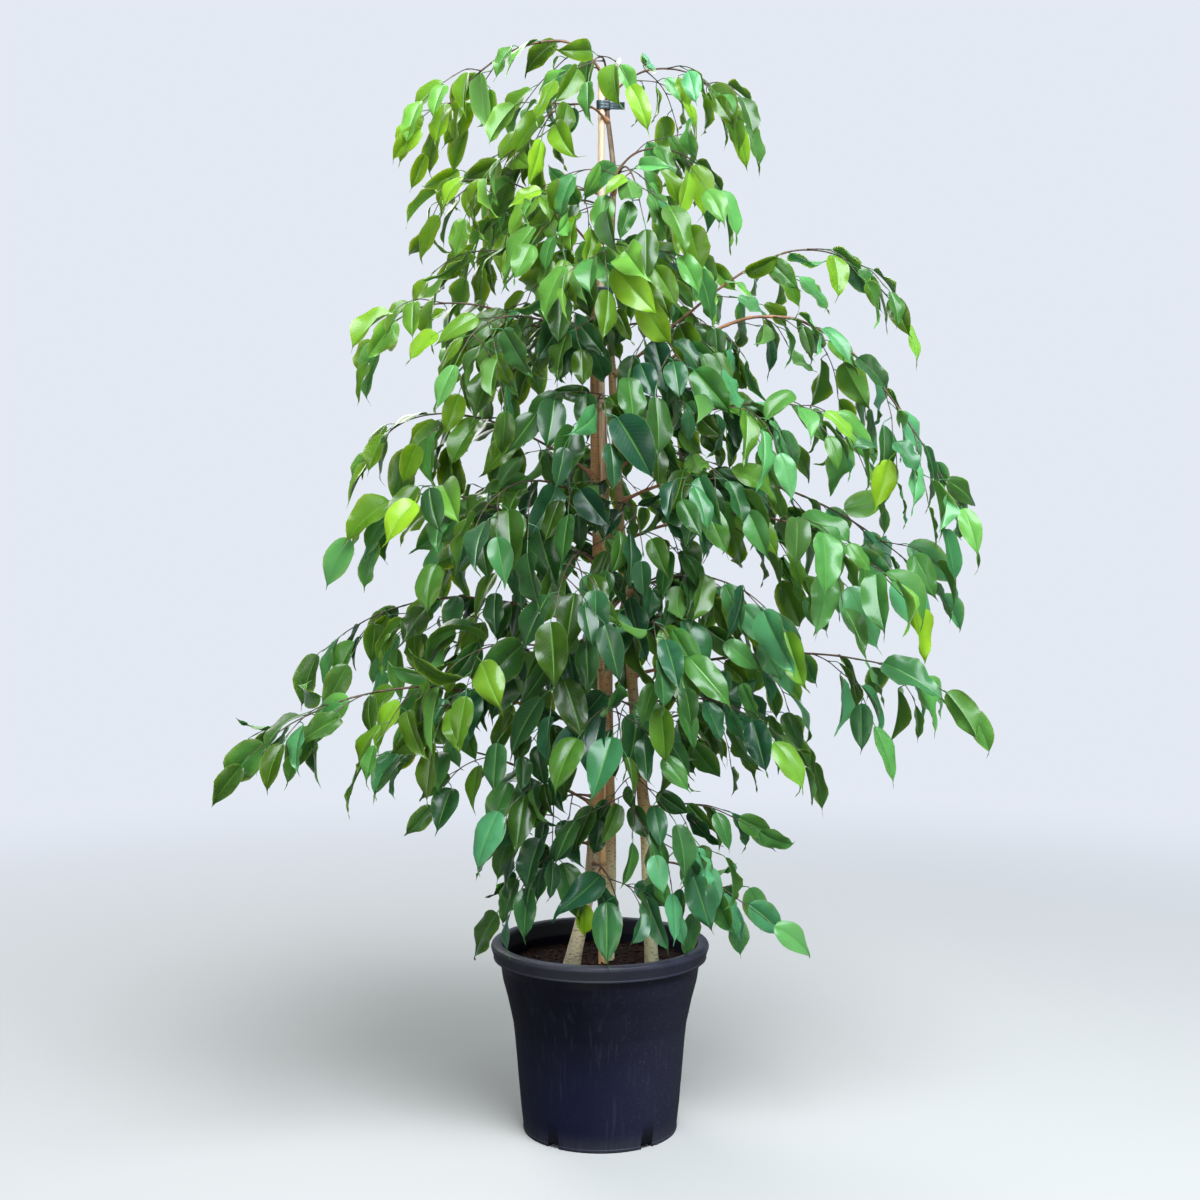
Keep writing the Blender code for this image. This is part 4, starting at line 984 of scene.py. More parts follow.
def add_leaf(mesh, leaf, rng, mark, stalk_mark):
    """One leaf: a thin closed blade with a rib under it, and a round stalk."""
    points, normals, t, s = blade_sheet(leaf, rng)
    number = mesh.charts[-1][0] + 1 if mesh.charts else 0
    rows, columns = points.shape[:2]
    count = rows * columns
    thick = 0.5 * BLADE_THICKNESS * (1 - s**2) * np.ones_like(t)
    rib = RIB_HEIGHT * bump_at(s, 0, RIB_SPREAD) * (1 - t) ** 0.6
    top = (points + normals * (thick - RIB_SUNK * rib)[..., None]).reshape(-1, 3)
    under = (points - normals * (thick + rib)[..., None]).reshape(-1, 3)
    places = np.stack(np.broadcast_arrays(0.5 + 0.5 * s, t), axis=2).reshape(-1, 2)
    rim = sorted({i * columns + j for i in range(rows) for j in (0, columns - 1)})
    top[rim] = points.reshape(-1, 3)[rim]
    inner = [i for i in range(count) if i not in rim]
    lower = {i: count + k for k, i in enumerate(inner)}
    faces = []
    for a, b, c, d in grid_faces(rows, columns):
        left = a % columns < columns // 2
        faces += [(c, b, a), (d, c, a)] if left else [(d, b, a), (d, c, b)]
    below = [tuple(lower.get(i, i) for i in face)[::-1] for face in faces]
    ends = blade_ends(rows, columns, lower)
    marks = np.tile(np.array(mark, float), (count + len(inner), 1))
    marks[count:, 2] = 1.0
    charts = [(number, UPPER)] * len(faces) + [(number, UNDER)] * len(below + ends)
    points = np.concatenate([top, under[inner]])
    mesh.add(points, faces + below + ends, np.concatenate([places, places[inner]]), marks, charts)
    add_stalk(mesh, leaf, stalk_mark, number)


def blade_ends(rows, columns, lower):
    """The faces that join the top and the underside at the blade's base and tip."""
    faces = []
    for row, step in ((0, -1), (rows - 1, 1)):
        up = [row * columns + j for j in range(columns)]
        down = [lower.get(i, i) for i in up]
        for corners in zip(up, down, down[1:], up[1:]):
            corners = tuple(dict.fromkeys(corners))
            if len(corners) > 2:
                faces.append(corners[::step])
    return faces


def add_stalk(mesh, leaf, mark, number):
    foot, hinge, forward = (np.array(v, float) for v in (leaf.foot, leaf.hinge, leaf.forward))
    way = hinge - foot
    reach = np.linalg.norm(way)
    corners = [foot, foot + way * 0.45, hinge - forward * reach * 0.30, hinge + forward * STALK_REACH]
    t = np.linspace(0, 1, STALK_RINGS)[:, None]
    line = sum(weight * corner for weight, corner in zip(cubic(t), corners))
    radii = np.interp(t[:, 0], (0, 0.25, 1), STALK_RADII)
    tube(mesh, line, radii, STALK_SIDES, mark, chart=(number, STALK))


def leaves_of(wood):
    """Every leaf that a wood and its twigs carry, with whether it ends its shoot."""
    for node, child in wood.children:
        if isinstance(child, Leaf):
            yield child, node == len(wood.points) - 1
        else:
            yield from leaves_of(child)


def woods_of(wood, order=0):
    """A wood and its twigs, each with how many forks it is from its trunk."""
    yield wood, order
    for _, child in wood.children:
        if isinstance(child, Wood):
            yield from woods_of(child, order + 1)


# The fine shoots inside the crown: how readily they start near the stake and far from it, and their leaves.
INFILL_TRIES = 16
INFILL_REACH = (0.14, 0.36)
INFILL_CHANCE = (0.95, 0.4275)
INFILL_NODES = (2, 3, 3, 4)
INFILL_LEAF = 0.072
INFILL_SCATTER = 0.16
INFILL_SCATTER_STEP = 0.03
INFILL_STALK = 0.001
INFILL_SPAN = (0.8, 1.25)
INFILL_DROOP = (0.5, 1.4)
INFILL_FACE = 0.45
INFILL_SIZES = (0.62, 1.08)
INFILL_BREADTH = (0.84, 1.14)
INFILL_BEND = (0.4, 1.4)


def fine_air(boughs):
    """The air as the fine crown fills it: a leaf takes no more room than its thin blade and its stalk."""
    air = Air()
    fill_fixed(air)
    for _, wood in boughs.values():
        for branch, _ in woods_of(wood):
            branch.settle(air)
        for leaf, _ in leaves_of(wood):
            settle_thin(air, leaf)
    return air


def settle_thin(air, leaf):
    air.fill(id(leaf), *leaf.blade())
    air.fill(id(leaf), *prism(leaf.foot, leaf.hinge, PETIOLE_RADIUS, PETIOLE_RADIUS))


def thin_leaf(rng, air, wood, k, hand):
    """A leaf like leaf_at's that lies closer to its neighbours, as only its blade has to be clear."""
    along = wood.along(k)
    side = beside(along, hand)
    foot = wood.points[k]
    out = outward(foot)
    for attempt in range(INFILL_TRIES):
        spread = INFILL_SCATTER + INFILL_SCATTER_STEP * attempt
        stalk = along * STALK_LEAN[bool(hand)] + side * STALK_SIDE + scatter(rng, spread)
        hinge = foot + stalk.normalized() * PETIOLE * rng.uniform(*INFILL_SPAN) - UP * STALK_DROP
        lean = along * 0.40 + side * 0.36 + out * 0.15
        forward = (lean - UP * rng.uniform(*INFILL_DROOP) + scatter(rng, spread)).normalized()
        face = out * 0.4 + LIGHT * 0.8 + scatter(rng, INFILL_FACE + spread)
        size = INFILL_LEAF * rng.uniform(*INFILL_SIZES)
        width = size * LEAF_WIDTH_SHARE * rng.uniform(*INFILL_BREADTH)
        leaf = Leaf(foot, hinge, forward, face, size, width, rng.uniform(*INFILL_BEND))
        stretch = prism(foot, hinge, INFILL_STALK, INFILL_STALK)
        if air.free(*leaf.blade(scale=1.02)) and air.free(*stretch, skip=(id(wood),)):
            return leaf
    return None


def fill_out(boughs):
    """Grows the fine side shoots that the solids leave out, most of them deep in the crown."""
    air = fine_air(boughs)
    for name, (_, axis) in boughs.items():
        rng = random.Random(name + " infill")
        for wood, order in list(woods_of(axis)):
            taken = {node for node, child in wood.children if isinstance(child, Wood)}
            for k in range(1, len(wood.points) - 1):
                reach = math.hypot(wood.points[k].x, wood.points[k].y)
                chance = INFILL_CHANCE[order] * (1 - float(eased(reach, *INFILL_REACH)))
                if k not in taken and rng.random() <= chance:
                    add_shoot(rng, air, wood, k)


def add_shoot(rng, air, wood, k):
    """One fine side shoot with its leaves, where there is room for it."""
    hand = rng.choice((-1, 1))
    shoot = twig(rng, air, wood, k, hand, rng.choice(INFILL_NODES))
    if shoot is None:
        return
    shoot.settle(air)
    wood.children.append((k, shoot))
    end = len(shoot.points) - 1
    for node in range(1, end + 1):
        leaf = thin_leaf(rng, air, shoot, node, 0 if node == end else (-1) ** node)
        if leaf:
            settle_thin(air, leaf)
            shoot.children.append((node, leaf))


# Where a leaf is turning yellow, as the front shows it: across and up.
YELLOW_SPOTS = ((-0.272, 0.880), (-0.003, 0.305), (0.374, 0.947), (0.482, 0.764))


def misfit(leaf, x, z):
    """How badly a leaf suits a yellow spot: by its distance, by how far back it is and by its size."""
    middle = leaf.midrib(0.4)[0]
    return math.hypot(middle.x - x, middle.z - z) + 0.25 * middle.y + leaf.length


def yellow_leaves(boughs):
    """The leaf that suits each yellow spot best."""
    leaves = [leaf for _, wood in boughs.values() for leaf, _ in leaves_of(wood)]
    return [min(leaves, key=lambda leaf: misfit(leaf, x, z)) for x, z in YELLOW_SPOTS]


# How light the leaves are, from nothing for deep green: at the least, as painted light out at the sides and
# in the top and low over the pot, as painted shade in the heart and at the lower left, as painted light at
# the lower right, and as leaf tone by chance.
TONE_LEAST = 0.10
PAINTED_LIGHT_OPEN = 0.50
PAINTED_LIGHT_LOW = 0.24
PAINTED_SHADE_HEART = -0.17
PAINTED_SHADE_LOWER_LEFT = -0.28
PAINTED_LIGHT_LOWER_RIGHT = 0.21
TONE_CHANCE = 0.24
# How young they are in the same way: at the least, as painted backlight at the high left, at shoot ends, by
# chance, and kept down as painted shade inside the crown; and the odd pale one.
YOUNG_LEAST = 0.03
PAINTED_BACKLIGHT_HIGH_LEFT = 0.28
YOUNG_END = 0.07
YOUNG_CHANCE = 0.07
YOUNG_IN_PAINTED_SHADE = 0.25
PALE_SHARE = 0.020
PALE = (0.35, 0.60)


def leaf_mark(leaf, ends, turning, rng):
    """A leaf's colour marks: painted light and shade with random tone, how young, the upper side's zero,
    and a mark that is high for painted sheen and low for painted backlight.
    """
    x, y, z = leaf.hinge
    aside = eased(abs(x), 0.06, 0.30)
    crown = eased(z, 1.14, 1.28) * eased(math.hypot(x, y), -0.05, 0.12)
    low = eased(-z, -0.60, -0.30)
    heart = bump_at(x, -0.08, 0.14) * bump_at(z, 0.92, 0.36)
    lower_left = eased(-x, 0.26, 0.38) * eased(-z, -0.85, -0.65)
    lower_right = eased(x, 0.0, 0.10) * eased(-z, -0.92, -0.66)
    high_left = eased(-x, 0.0, 0.22) * eased(z, 0.85, 1.35)
    # Painted light at the sides, top, low over the pot and lower right; painted shade in the heart and lower
    # left.
    light = TONE_LEAST + PAINTED_LIGHT_OPEN * max(aside, crown) + PAINTED_LIGHT_LOW * low + PAINTED_LIGHT_LOWER_RIGHT * lower_right
    light += min(PAINTED_SHADE_HEART * heart, PAINTED_SHADE_LOWER_LEFT * lower_left)
    light += rng.gauss(0, TONE_CHANCE) * (1 + 0.5 * aside)
    # Young yellow at shoot ends and by chance, painted backlight at the high left, and less of it in the
    # painted shade inside the crown.
    young = YOUNG_LEAST + PAINTED_BACKLIGHT_HIGH_LEFT * high_left + YOUNG_END * ends + rng.gauss(0, YOUNG_CHANCE)
    young *= mix(YOUNG_IN_PAINTED_SHADE, 1, max(aside, crown, high_left))
    if rng.random() < PALE_SHARE:
        young = rng.uniform(*PALE)
    if leaf in turning:
        young = 1.0
    # High for a painted teal sheen at the right and low over the pot, low for a painted olive backlight at
    # the high left and top.
    sheen_and_backlight = rng.random() + 0.5 * x + 0.45 * low - max(0.35 * high_left, 0.25 * crown)
    light, young, sheen_and_backlight = (min(max(float(value), 0), 1) for value in (light, young, sheen_and_backlight))
    return light, young, 0.0, sheen_and_backlight


def make_leaves(name, wood, turning):
    rng = random.Random(name + " blades")
    mesh = Mesh()
    for leaf, ends in leaves_of(wood):
        mark = leaf_mark(leaf, ends, turning, rng)
        add_leaf(mesh, leaf, rng, mark, (0.5, mark[1], 0.0, 1.0))
    return mesh.made(f"{name}_leaves", materials["leaf"], degrees=60)


# ---- Twigs, trunks and cane ----

WOOD_PARTS = 5
WOOD_SLIM = 0.80
WOOD_KINK = 0.0006
NODE_SWELL = 0.22
NODE_SPREAD = 0.10
# A collar's swelling and spread in nodes, and the sides of its tube, for a bough and for a twig.
BOUGH_FORM = (0.9, 0.22, 8)
TWIG_FORM = (0.5, 0.15, 6)
ROOT_DEPTH = 0.004
ROOT_FLARE = 1.25
# The bud at a shoot's end: its length, and shares of it with shares of the shoot's own radius.
BUD = 0.011
BUD_SHAPE = ((0.15, 1.15), (0.45, 0.95), (0.75, 0.55), (1.0, 0.08))

STEM_DEPTH = 0.012
TRUNK_STEP = 0.005
TRUNK_SIDES = 28
TRUNK_FOOT = (0.16, 0.018)
# The trunks' lumps: how close together round and up the trunk, and each layer's fineness and height.
LUMPS_ROUND = 1.2
LUMPS_UP = 26 / LUMPS_ROUND
TRUNK_LUMPS = ((1.0, 0.05), (2.7, 0.025))
TRUNK_KINDS = {"trunk_left": 0.0, "trunk_right": 1.0, "trunk_back": 0.5}
COLLAR = 0.0016

CANE_NODES = (0.155, 0.395, 0.620, 0.850, 1.075, 1.270, 1.430)
CANE_SIDES = 32
CANE_RIDGE = (0.00055, 0.0012, 0.0016)
CANE_GROOVE = (-0.00030, -0.0018, 0.0010)
CANE_STAIN = (1.0, -0.0005, 0.0035)
CANE_SWAY = 0.0007
# The sawn head, from its edge over its rim down into the bore: drop, and share of the cane's own radius.
CANE_HEAD = ((0.0006, 0.93), (0.0006, 0.45), (-0.012, 0.3825))


def add_piece(mesh, name, replaced, material, degrees=50):
    """Makes the piece that stands in for a node of the solids."""
    piece = mesh.made(name, materials[material], degrees)
    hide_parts(replaced)


def marked(count, *marks):
    """Marks for a row of points: the given ones, the rest zero, and one as the last."""
    return np.stack(np.broadcast_arrays(*marks, *[0.0] * (3 - len(marks)), np.ones(count)), axis=1)


def make_wood(name, wood):
    mesh = Mesh()
    for branch, order in woods_of(wood):
        form = TWIG_FORM if order else BOUGH_FORM
        add_branch(mesh, branch, form, not order, random.Random(f"{name} {len(mesh.points)}"))
    return mesh.made(f"{name}_wood", materials["twig"])


def add_branch(mesh, wood, form, rooted, rng):
    """A tapering shoot: a slight swelling at each node, a collar at its foot and a bud at its end."""
    collar, spread, sides = form
    inner = [point + scatter(rng, WOOD_KINK) for point in wood.points[1:-1]]
    line = smooth_line([wood.points[0], *inner, wood.points[-1]], WOOD_PARTS)
    share = np.linspace(0, 1, len(line))
    node = np.arange(len(line)) / WOOD_PARTS
    swell = 1 + NODE_SWELL * bump_at(node, np.round(node), NODE_SPREAD)
    radii = WOOD_SLIM * np.interp(node, range(len(wood.radii)), wood.radii) * swell
    radii *= 1 + collar * np.exp(-node / spread)
    if rooted:
        root = line[0] - unit(line[1] - line[0]) * ROOT_DEPTH
        line = np.concatenate([[root], line])
        radii = np.concatenate([[radii[0] * ROOT_FLARE], radii])
        share = np.concatenate([[0], share])
    end = unit(line[-1] - line[-2])
    line = np.concatenate([line, [line[-1] + end * BUD * along for along, _ in BUD_SHAPE]])
    radii = np.concatenate([radii, [radii[-1] * wide for _, wide in BUD_SHAPE]])
    share = np.concatenate([share, np.ones(len(BUD_SHAPE))])
    tube(mesh, line, radii, sides, marked(len(line), eased(radii, 0.0010, 0.0030), share**3, rng.random()))


def make_trunk(name, roots):
    """A trunk with gentle lumps, and a swollen collar where each bough leaves it."""
    low, high = SOIL_TOP - STEM_DEPTH, TRUNKS[name][-1][2]
    heights = np.linspace(low, high, int((high - low) / TRUNK_STEP) + 1)
    line = [trunk_at(name, float(z)) for z in heights]
    centres = np.array([c for c, _ in line])
    radii = np.empty((len(line), TRUNK_SIDES))
    start = Vector((7.3 * len(name), 2.1, 0.4))
    for k, (centre, radius) in enumerate(line):
        foot = TRUNK_FOOT[0] * math.exp(-(centre.z - SOIL_TOP) / TRUNK_FOOT[1])
        for j, turn in enumerate(turns(TRUNK_SIDES)):
            spot = Vector((math.cos(turn), math.sin(turn), centre.z * LUMPS_UP)) * LUMPS_ROUND
            lumps = sum(noise.noise(spot * fine + start) * gain for fine, gain in TRUNK_LUMPS)
            radii[k, j] = radius * (1 + lumps + foot)
    mesh = Mesh()
    marks = marked(len(line), TRUNK_KINDS[name], eased(heights, 0.33, 0.48), eased(heights, 0.9, 1.5))
    tube(mesh, centres, radii, TRUNK_SIDES, marks)
    points = mesh.points[0]
    for root, radius in roots:
        away = np.linalg.norm((points - np.array(root)) * (1, 1, 0.8), axis=1)
        middle, _ = trunk_at(name, min(root.z, high))
        outwards = np.array((root.x - middle.x, root.y - middle.y, 0.0))
        outwards /= np.linalg.norm(outwards) + 1e-9
        points += bump_at(away, 0, 0.004 + 1.6 * radius)[:, None] * outwards * COLLAR
    add_piece(mesh, name + "_bark", name, "bark")


def at_nodes(heights, form):
    """A ridge, groove or stain at each of the cane's nodes: how much, how far above it and how wide."""
    gain, above, spread = form
    return sum(gain * bump_at(heights, z + above, spread) for z in CANE_NODES)


def make_cane():
    """A bamboo cane with a ridge and a groove at each node, sawn flat and hollow at its head."""
    low, high = SOIL_TOP - STEM_DEPTH, STAKE_HEAD.z
    heights = set(np.linspace(low, high, 120).tolist())
    for z in CANE_NODES:
        heights |= {z + d for d in np.linspace(-0.008, 0.008, 15) if z + d > low}
    heights = np.array(sorted(heights))
    line = [stake_at(float(z)) for z in heights]
    radii = np.array([r for _, r in line]) + at_nodes(heights, CANE_RIDGE) + at_nodes(heights, CANE_GROOVE)
    centres = np.array([c for c, _ in line])
    centres[:, 0] += CANE_SWAY * np.sin(heights * 9.0)
    centres = np.concatenate([centres, [centres[-1] + (0, 0, drop) for drop, _ in CANE_HEAD]])
    radii = np.concatenate([radii, [radii[-1] * share for _, share in CANE_HEAD]])
    heights = centres[:, 2]
    sawn = np.arange(len(heights)) >= len(heights) - len(CANE_HEAD)
    marks = marked(len(heights), eased(heights, 0.5, 1.4), at_nodes(heights, CANE_STAIN), sawn)
    turn = turns(CANE_SIDES)
    spokes = np.stack([np.cos(turn), np.sin(turn), np.zeros(CANE_SIDES)], axis=1)
    points = centres[:, None, :] + radii[:, None, None] * spokes[None]
    lengths = np.concatenate([[0], np.cumsum(np.linalg.norm(np.diff(centres, axis=0), axis=1))])
    places = np.stack(np.broadcast_arrays((turn / math.tau)[None, :], lengths[:, None]), axis=2)
    faces = grid_faces(len(centres), CANE_SIDES, closed=True) + caps(len(centres), CANE_SIDES)
    mesh = Mesh()
    mesh.add(points, faces, places, marks.repeat(CANE_SIDES, axis=0))
    add_piece(mesh, "bamboo_cane", "bamboo_stake", "cane", degrees=35)


# ---- Ties ----

STRAP_STEPS = 72
STRAP_SMOOTHINGS = 2
STRAP_RIB = 0.18
STRAP_EDGE = 0.94
TAIL_STEPS = 14
TAIL_LENGTH = 0.95 * TIE_TAIL
TAIL_NARROWING = 0.86
TAIL_CURL = 0.0020
TAIL_SAG = 0.0016
TAIL_START = 0.0006


def make_strap(name):
    """A soft ribbed strap round the stake and its trunks, with a loose tail."""
    height, band, trunks, turn = TIES[name]
    around = tie_loop(height, band, trunks, TIE_SLACK + TIE_THICKNESS / 2)
    loop = np.array([p[:] for p in around + around[:1]])
    where = np.concatenate([[0], np.cumsum(np.linalg.norm(np.diff(loop, axis=0), axis=1))])
    even = np.linspace(0, where[-1], STRAP_STEPS, endpoint=False)
    line = np.stack([np.interp(even, where, loop[:, k]) for k in range(3)], axis=1)
    for _ in range(STRAP_SMOOTHINGS):
        line = (np.roll(line, 1, axis=0) + 2 * line + np.roll(line, -1, axis=0)) / 4
    mesh = Mesh()
    strap_band(mesh, line, band, closed=True)
    knot, heading = tie_knot(around, turn)
    heading = np.array(heading)
    across = np.cross((0.0, 0.0, 1.0), heading)
    u = np.linspace(0, 1, TAIL_STEPS)[:, None]
    start = np.array(knot) + heading * TAIL_START
    tail = start + heading * TAIL_LENGTH * u + across * TAIL_CURL * np.sin(u * 2.4)
    tail[:, 2] -= TAIL_SAG * u[:, 0] ** 1.5
    strap_band(mesh, tail, band * TAIL_NARROWING, closed=False)
    add_piece(mesh, name + "_strap", name, "strap", degrees=40)


def strap_band(mesh, line, band, closed):
    """A flat band with rounded edges and three shallow ribs, standing on edge along a level line."""
    ahead = np.roll(line, -1, axis=0) - np.roll(line, 1, axis=0) if closed else np.gradient(line, axis=0)
    out = unit(np.cross(unit(ahead), (0.0, 0.0, 1.0)))
    half, thick = band / 2, TIE_THICKNESS / 2
    edge = [(half, thick * 0.4), (half, -thick * 0.4)]
    section = []
    for v in np.linspace(-STRAP_EDGE, STRAP_EDGE, 17):
        section.append((v * half, thick * (1 + STRAP_RIB * math.cos(3 * math.pi * v))))
    section += edge + [(v * half, -thick) for v in np.linspace(STRAP_EDGE, -STRAP_EDGE, 7)]
    section = np.array(section + [(-up, -side) for up, side in edge])
    points = line[:, None, :] + out[:, None, :] * section[None, :, 1:2]
    points[..., 2] += section[None, :, 0]
    rows, columns = points.shape[:2]
    faces = grid_faces(rows, columns, closed=True)
    if closed:
        last = (rows - 1) * columns
        faces += [(last + j, last + (j + 1) % columns, (j + 1) % columns, j) for j in range(columns)]
    else:
        faces += caps(rows, columns)
    along = np.linspace(0, 1, rows)[:, None]
    places = np.stack(np.broadcast_arrays(along, (section[:, 0] / band + 0.5)[None, :]), axis=2)
    mesh.add(points, [face[::-1] for face in faces], places, (0.5, 0.5, 0.5, 1))


# ---- Potting mix ----

SOIL_RINGS = 46
SOIL_SIDES = 128
SOIL_SKIRT = 0.012
SOIL_LUMPS = ((1.0, 0.0030), (3.1, 0.0016))
CHIPS = 620
CHIP_SIZE = (0.0018, 0.0062)
CHIP_WIDTH = (0.35, 0.75)
CHIP_HEIGHT = (0.18, 0.4)
CHIP_TILT = 0.35
CHIP_SIDES = 6
# A chip's levels from its foot to its top: height and width as shares of its own.
CHIP_LEVELS = ((-1, 0.75), (-0.3, 1.0), (0.5, 0.92), (1, 0.6))


def soil_height(x, y):
    """The mix's surface: slightly crowned, and lumpy."""
    crown = SOIL_CROWN * (1 - min(math.hypot(x, y) / 0.145, 1) ** 2)
    spot = Vector((x * 38, y * 38, 3.7))
    return SOIL_TOP + crown * 0.6 + sum(gain * noise.noise(spot * fine) for fine, gain in SOIL_LUMPS)


def soil_edge(height=SOIL_TOP):
    """The mix's radius at a height, just inside the pot's wall."""
    rows = pot_inside()
    for (ra, za), (rb, zb) in zip(rows, rows[1:]):
        if za <= height <= zb:
            return mix(ra, rb, (height - za) / (zb - za)) - 2 * GAP
    return rows[-1][0] - 2 * GAP


def make_soil():
    """The mix as rings round a middle point, with a skirt down the pot's wall and a flat underside."""
    edge = soil_edge()
    foot = SOIL_TOP - SOIL_SKIRT
    points, places = [(0, 0, soil_height(0, 0))], [(0, 0)]
    for k in range(1, SOIL_RINGS + 1):
        skirt = k == SOIL_RINGS
        reach = edge if skirt else edge * k / (SOIL_RINGS - 1)
        for turn in turns(SOIL_SIDES):
            x, y = reach * math.cos(turn), reach * math.sin(turn)
            places.append((x, y))
            if skirt:
                shrink = soil_edge(foot) / edge
                points.append((x * shrink, y * shrink, foot))
            else:
                points.append((x, y, soil_height(x, y)))
    sides = grid_faces(SOIL_RINGS, SOIL_SIDES, closed=True)
    faces = [tuple(i + 1 for i in face) for face in sides]
    faces += [(0, 1 + j, 1 + (j + 1) % SOIL_SIDES) for j in range(SOIL_SIDES)]
    faces.append(tuple(range(len(points) - SOIL_SIDES, len(points)))[::-1])
    mesh = Mesh()
    mesh.add(points, faces, places, (0, 0, 0, 1))
    add_piece(mesh, "potting_mix", "soil", "mix", degrees=80)


def make_chips():
    """Chips of composted bark lying on the mix, each a rough wedge."""
    rng = random.Random("chips")
    mesh = Mesh()
    edge = soil_edge() - 0.008
    stems = [trunk_at(name, SOIL_TOP) for name in TRUNKS] + [stake_at(SOIL_TOP)]
    for _ in range(CHIPS):
        reach = edge * math.sqrt(rng.random())
        turn = rng.uniform(0, math.tau)
        x, y = reach * math.cos(turn), reach * math.sin(turn)
        size = rng.uniform(*CHIP_SIZE)
        if any(math.hypot(x - c.x, y - c.y) < r + size for c, r in stems):
            continue
        shape = Vector((size, size * rng.uniform(*CHIP_WIDTH), size * rng.uniform(*CHIP_HEIGHT)))
        spin = Matrix.Rotation(rng.uniform(0, math.tau), 3, "Z")
        for axis in "XY":
            spin = spin @ Matrix.Rotation(rng.gauss(0, CHIP_TILT), 3, axis)
        add_chip(mesh, Vector((x, y, soil_height(x, y) + shape.z * 0.5)), spin, shape, rng)
    add_piece(mesh, "bark_chips", "soil", "chips", degrees=30)


def add_chip(mesh, centre, spin, shape, rng):
    """One chip: uneven rings from its foot to its top."""
    points = []
    for level, narrowing in CHIP_LEVELS:
        for j in range(CHIP_SIDES):
            turn = math.tau * (j + 0.3 * level) / CHIP_SIDES
            reach = narrowing * rng.uniform(0.72, 1.0)
            spot = Vector((math.cos(turn) * reach, math.sin(turn) * reach, level))
            points.append(centre + spin @ (spot * shape))
    rows = len(CHIP_LEVELS)
    faces = grid_faces(rows, CHIP_SIDES, closed=True) + caps(rows, CHIP_SIDES)
    mark = (rng.random(), rng.random(), 0, 1)
    mesh.add([p[:] for p in points], faces, [(p.x, p.y) for p in points], mark)


# ---- Pot ----

POT_SIDES = 192
POT_ROUND = 0.0016
ROUND_PARTS = 4
NOTCH_LENGTH = 0.024
NOTCH_CORNER = 0.0025


def rounded(points, radius):
    """A profile with each inner corner rounded."""
    out = [points[0]]
    for corners in zip(points, points[1:], points[2:]):
        a, b, c = (np.array(p, float) for p in corners)
        cut = min(radius, np.linalg.norm(a - b) * 0.45, np.linalg.norm(c - b) * 0.45)
        p, q = b + unit(a - b) * cut, b + unit(c - b) * cut
        for t in np.arange(ROUND_PARTS + 1) / ROUND_PARTS:
            out.append(tuple((1 - t) ** 2 * p + 2 * t * (1 - t) * b + t**2 * q))
    return out + [points[-1]]


def pot_profile():
    """The pot's section as radius and height: up its inside, over the rim, and down its outside."""
    rim_foot = POT_HEIGHT - RIM_BAND
    lip = SHOULDER_RADIUS - WALL
    tuck = RIM_FOOT_RADIUS - SKIRT
    profile = [(0.0, FLOOR)] + pot_inside()[:-1]
    profile += [
        (lip, rim_foot - 0.004),
        (lip, POT_HEIGHT - 0.0045),
        (lip + 0.0022, POT_HEIGHT - 0.0008),
        (lip + 0.0060, POT_HEIGHT),
        (RIM_RADIUS - 0.0056, POT_HEIGHT),
        (RIM_RADIUS - 0.0014, POT_HEIGHT - 0.0020),
        (RIM_RADIUS, POT_HEIGHT - 0.0064),
        (RIM_RADIUS - 0.0010, POT_HEIGHT - 0.0096),
        (RIM_FOOT_RADIUS, rim_foot + 0.0034),
        (RIM_FOOT_RADIUS + 0.0006, rim_foot + 0.0024),
        (RIM_FOOT_RADIUS + 0.0006, rim_foot),
        (tuck, rim_foot),
        (tuck, POT_HEIGHT - LIP_ROUND),
        (SHOULDER_RADIUS, POT_HEIGHT - LIP_ROUND),
    ]
    profile += pot_side()[::-1]
    profile += [
        (BASE_RADIUS + 0.0006, 0.0046),
        (BASE_RADIUS + 0.0004, 0.0006),
        (BASE_RADIUS - 0.0010, 0.0),
        (0.0, 0.0),
    ]
    return rounded(profile, POT_ROUND)


def make_pot():
    """The pot turned from its profile, with rounded edges, a rolled rim, a foot ring and notches."""
    profile = pot_profile()
    points, places = [(0.0, 0.0, profile[0][1])], [(0.0, 0.0)]
    length = 0.0
    for (ra, za), (r, z) in zip(profile, profile[1:-1]):
        length += math.hypot(r - ra, z - za)
        for j, turn in enumerate(turns(POT_SIDES)):
            points.append((r * math.cos(turn), r * math.sin(turn), z))
            places.append((j / POT_SIDES, length))
    points.append((0.0, 0.0, 0.0))
    places.append((0.0, length))
    rows = len(profile) - 2
    faces = [tuple(i + 1 for i in face)[::-1] for face in grid_faces(rows, POT_SIDES, closed=True)]
    last = 1 + (rows - 1) * POT_SIDES
    for j in range(POT_SIDES):
        m = (j + 1) % POT_SIDES
        faces.append((0, 1 + j, 1 + m))
        faces.append((len(points) - 1, last + m, last + j))
    mesh = Mesh()
    mesh.add(points, faces, places, (0, 0, 0, 1))
    piece = mesh.made("nursery_pot", materials["pot"], degrees=32)
    cut_notches(piece)
    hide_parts("pot")


